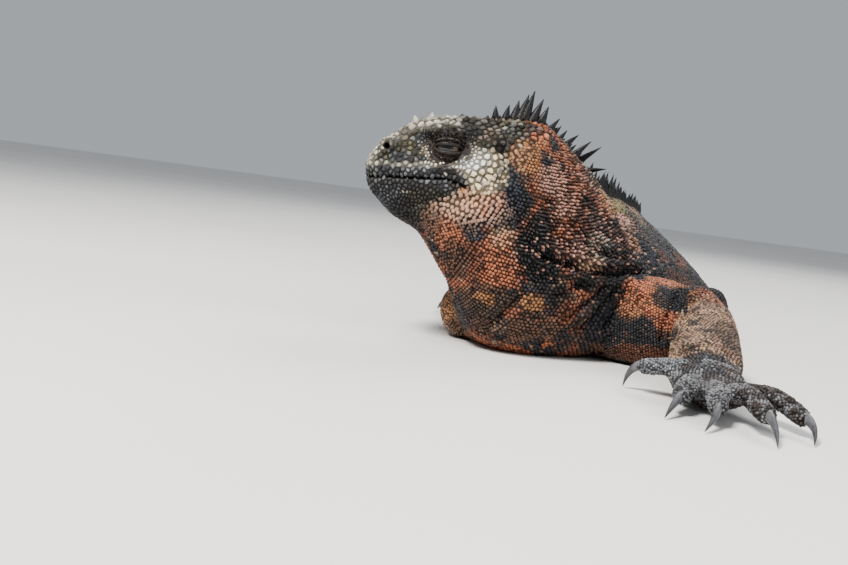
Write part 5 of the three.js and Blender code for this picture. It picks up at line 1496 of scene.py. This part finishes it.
bladeSides, bladeRings = 8, 7
bladePoints, bladeFaces, bladeCrown, bladeUnwrap, bladeTone = [], [], [], [], []
for number, (root, aim, along, tall0) in enumerate(spineRows):
    up = unit(aim)
    across = unit(np.cross(up, along))
    level = np.cross(across, up)
    length, sink = np.linalg.norm(aim), min(2.0, 0.8 + tall0 * 0.15)
    wide = min(4.4, 2.0 + length * 0.27) * 0.5 * crestForm["girth"]
    thick = min(crestForm["width"], 1.3 + length * 0.22) * 0.5
    unwrap = charted(np.array([root]))["unwrap"][0]
    bend = mix(-0.08, 0.14, chance.random()) * length
    base = len(bladePoints)
    for ring in range(bladeRings):
        t = ring / (bladeRings - 1)
        size = (1 - t ** 1.35) * 0.96 + 0.04
        centre = root + up * mix(-sink, length, t) + level * bend * t * t
        for corner in range(bladeSides):
            angle = 2 * math.pi * corner / bladeSides
            bladePoints.append(centre + level * wide * size * math.cos(angle) + across * thick * size * math.sin(angle))
            bladeCrown.append(t)
            bladeUnwrap.append(unwrap + 0.0014 * (1 - t) * np.array([math.cos(angle), math.sin(angle)]))
    for ring in range(bladeRings - 1):
        for corner in range(bladeSides):
            following = (corner + 1) % bladeSides
            a, b = base + ring * bladeSides + corner, base + ring * bladeSides + following
            bladeFaces.append([a, b, b + bladeSides, a + bladeSides])
    bladeFaces.append(list(range(base + (bladeRings - 1) * bladeSides, base + bladeRings * bladeSides)))
    bladeTone += [mix(0.7, 1.5, chance.random())] * (bladeSides * bladeRings)
crest = meshObject("crestSpines", np.array(bladePoints), bladeFaces)
turnFacesOut(crest.data)
crest.data.shade_smooth()
bladeTone, bladeCrown = np.array(bladeTone), np.array(bladeCrown)
rootTone = mix(pigments["umber"], pigments["charcoal"], ramp(0.0, 0.5, bladeCrown)[:, None]) * bladeTone[:, None]
putAttribute(crest.data, "pigment", "FLOAT_COLOR", "POINT", withAlpha(rootTone))
putAttribute(crest.data, "tipPigmentAndHighlight", "FLOAT_COLOR", "POINT", withAlpha(pigments["black"] * bladeTone[:, None]))
putAttribute(crest.data, "crown", "FLOAT", "POINT", bladeCrown)
bakeMap(crest.data, np.array(bladeUnwrap))
crest.data.materials.append(spineFinish)
print("stage: crest,", len(spineRows), "spines")

# Claws: stout curved horn, one piece for each paw
clawFinish, tree, shader = newMaterial("clawHorn")
place = objectPlace(tree)
tipFade = attributeNode(tree, "crown").outputs["Fac"]
horn = rampNode(tree, tipFade, [(0.0, (0.10, 0.09, 0.08)), (0.25, (0.15, 0.15, 0.16)), (0.7, (0.075, 0.075, 0.085)), (1.0, (0.045, 0.038, 0.034))])
wear = rampNode(tree, noiseNode(tree, 420, 4, place), [(0.3, 0.6), (0.7, 1.25)])
tree.links.new(blendNode(tree, "MULTIPLY", 1.0, horn, wear), shader.inputs["Base Color"])
shader.inputs["Roughness"].default_value = 0.38
tree.links.new(bumpNode(tree, noiseNode(tree, 1500, 3, place), 0.0002, 0.6), shader.inputs["Normal"])
clawPieces = {}
for name, paw in paws.items():
    points, faces, crown = [], [], []
    for digit in paw["digits"]:
        path = np.array(digit["path"], float)
        end, tipPoint = path[-1], np.array(digit["tip"], float)
        tangent = unit(rowsAt(path, 2.0, True)[0] - rowsAt(path, 1.98, True)[0])
        start = end - tangent * 1.2
        reach = np.linalg.norm(tipPoint - start)
        knee = start + tangent * reach * 0.5 + np.array([0, 0, 1.4])
        base = len(points)
        ringCount, sides = 14, 12
        for ring in range(ringCount):
            t = ring / (ringCount - 1)
            centre = start * (1 - t) ** 2 + knee * 2 * t * (1 - t) + tipPoint * t * t
            aim = unit(2 * (1 - t) * (knee - start) + 2 * t * (tipPoint - knee))
            across = unit(np.cross(aim, [0, 0, 1.0]))
            over = np.cross(across, aim)
            size = paw["claw"] * (0.9 * (1 - t ** 1.35) ** 0.85 + 0.05)
            for corner in range(sides):
                angle = 2 * math.pi * corner / sides
                low = 0.86 if math.sin(angle) < 0 else 1.1
                points.append(centre + across * size * 0.72 * math.cos(angle) + over * size * low * math.sin(angle))
                crown.append(t)
        for ring in range(ringCount - 1):
            for corner in range(sides):
                a, b = base + ring * sides + corner, base + ring * sides + (corner + 1) % sides
                faces.append([a, b, b + sides, a + sides])
        faces.append(list(range(base, base + sides)))
        faces.append(list(range(base + (ringCount - 1) * sides, base + ringCount * sides)))
    claws = meshObject(f"claws_{name}", np.array(points), faces)
    for vertex in claws.data.vertices:
        vertex.co.z = max(vertex.co.z, 0.0001)
    turnFacesOut(claws.data)
    claws.data.shade_smooth()
    putAttribute(claws.data, "crown", "FLOAT", "POINT", crown)
    claws.data.materials.append(clawFinish)
    clawPieces[name] = claws
print("stage: claws")

for dome in domes.values():
    bpy.data.objects.remove(dome)

# Floor and light
floorReach = 6.0                             # metres from the middle to each edge
floorCorners = np.array([(-1, -1, 0), (1, -1, 0), (1, 1, 0), (-1, 1, 0)])
floor = meshObject("floor", floorCorners * floorReach / mm, [[0, 1, 2, 3]])
floorFinish, tree, shader = newMaterial("palePaper")
paper = rampNode(tree, noiseNode(tree, 3, 2, objectPlace(tree)), [(0.3, (0.76, 0.75, 0.73)), (0.7, (0.81, 0.80, 0.78))])
tree.links.new(paper, shader.inputs["Base Color"])
shader.inputs["Roughness"].default_value = 0.9
floor.data.materials.append(floorFinish)

world = bpy.data.worlds.new("studio")
bpy.context.scene.world = world
world.use_nodes = True
world.node_tree.nodes["Background"].inputs["Color"].default_value = (0.86, 0.90, 0.96, 1)
world.node_tree.nodes["Background"].inputs["Strength"].default_value = 0.42
lights = {
    "key": {"place": (-0.35, -0.75, 0.95), "size": 0.3, "power": 21, "colour": (1.0, 0.97, 0.92)},
    "side": {"place": (0.95, -0.35, 0.55), "size": 0.8, "power": 5, "colour": (0.95, 0.97, 1.0)},
    "back": {"place": (0.3, 0.95, 1.1), "size": 0.8, "power": 9, "colour": (1.0, 0.98, 0.95)},
}
for name, light in lights.items():
    lamp = bpy.data.objects.new(name, bpy.data.lights.new(name, "AREA"))
    bpy.context.scene.collection.objects.link(lamp)
    lamp.data.size, lamp.data.energy, lamp.data.color = light["size"], light["power"], light["colour"]
    aim = Vector((0.0, 0.05, 0.04)) - Vector(light["place"])
    lamp.matrix_world = Matrix.Translation(light["place"]) @ aim.to_track_quat("-Z", "Y").to_matrix().to_4x4()
bpy.context.scene.view_settings.view_transform = "AgX"
bpy.context.scene.view_settings.look = "AgX - Medium High Contrast"

# Pieces go under the root, and the solids that skin, eyes and claws replace are hidden
flesh = [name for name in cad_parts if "claw" not in name and "eye" not in name]
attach(skin, "root")
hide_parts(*flesh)
for piece in coatPieces:
    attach(piece, "root")
for piece, slot in [(scutes, "head_skin"), (crest, "dark_skin")] + [(lid, "head_skin") for lid in lidPieces]:
    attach(piece, "root")
for piece, node in zip(eyePieces, ("eye_left", "eye_right")):
    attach(piece, "root")
    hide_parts(node)
for name, piece in clawPieces.items():
    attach(piece, "root")
    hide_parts(*[f"{name}_claw_{number}" for number in range(1, 6)])
print("stage: dressed")
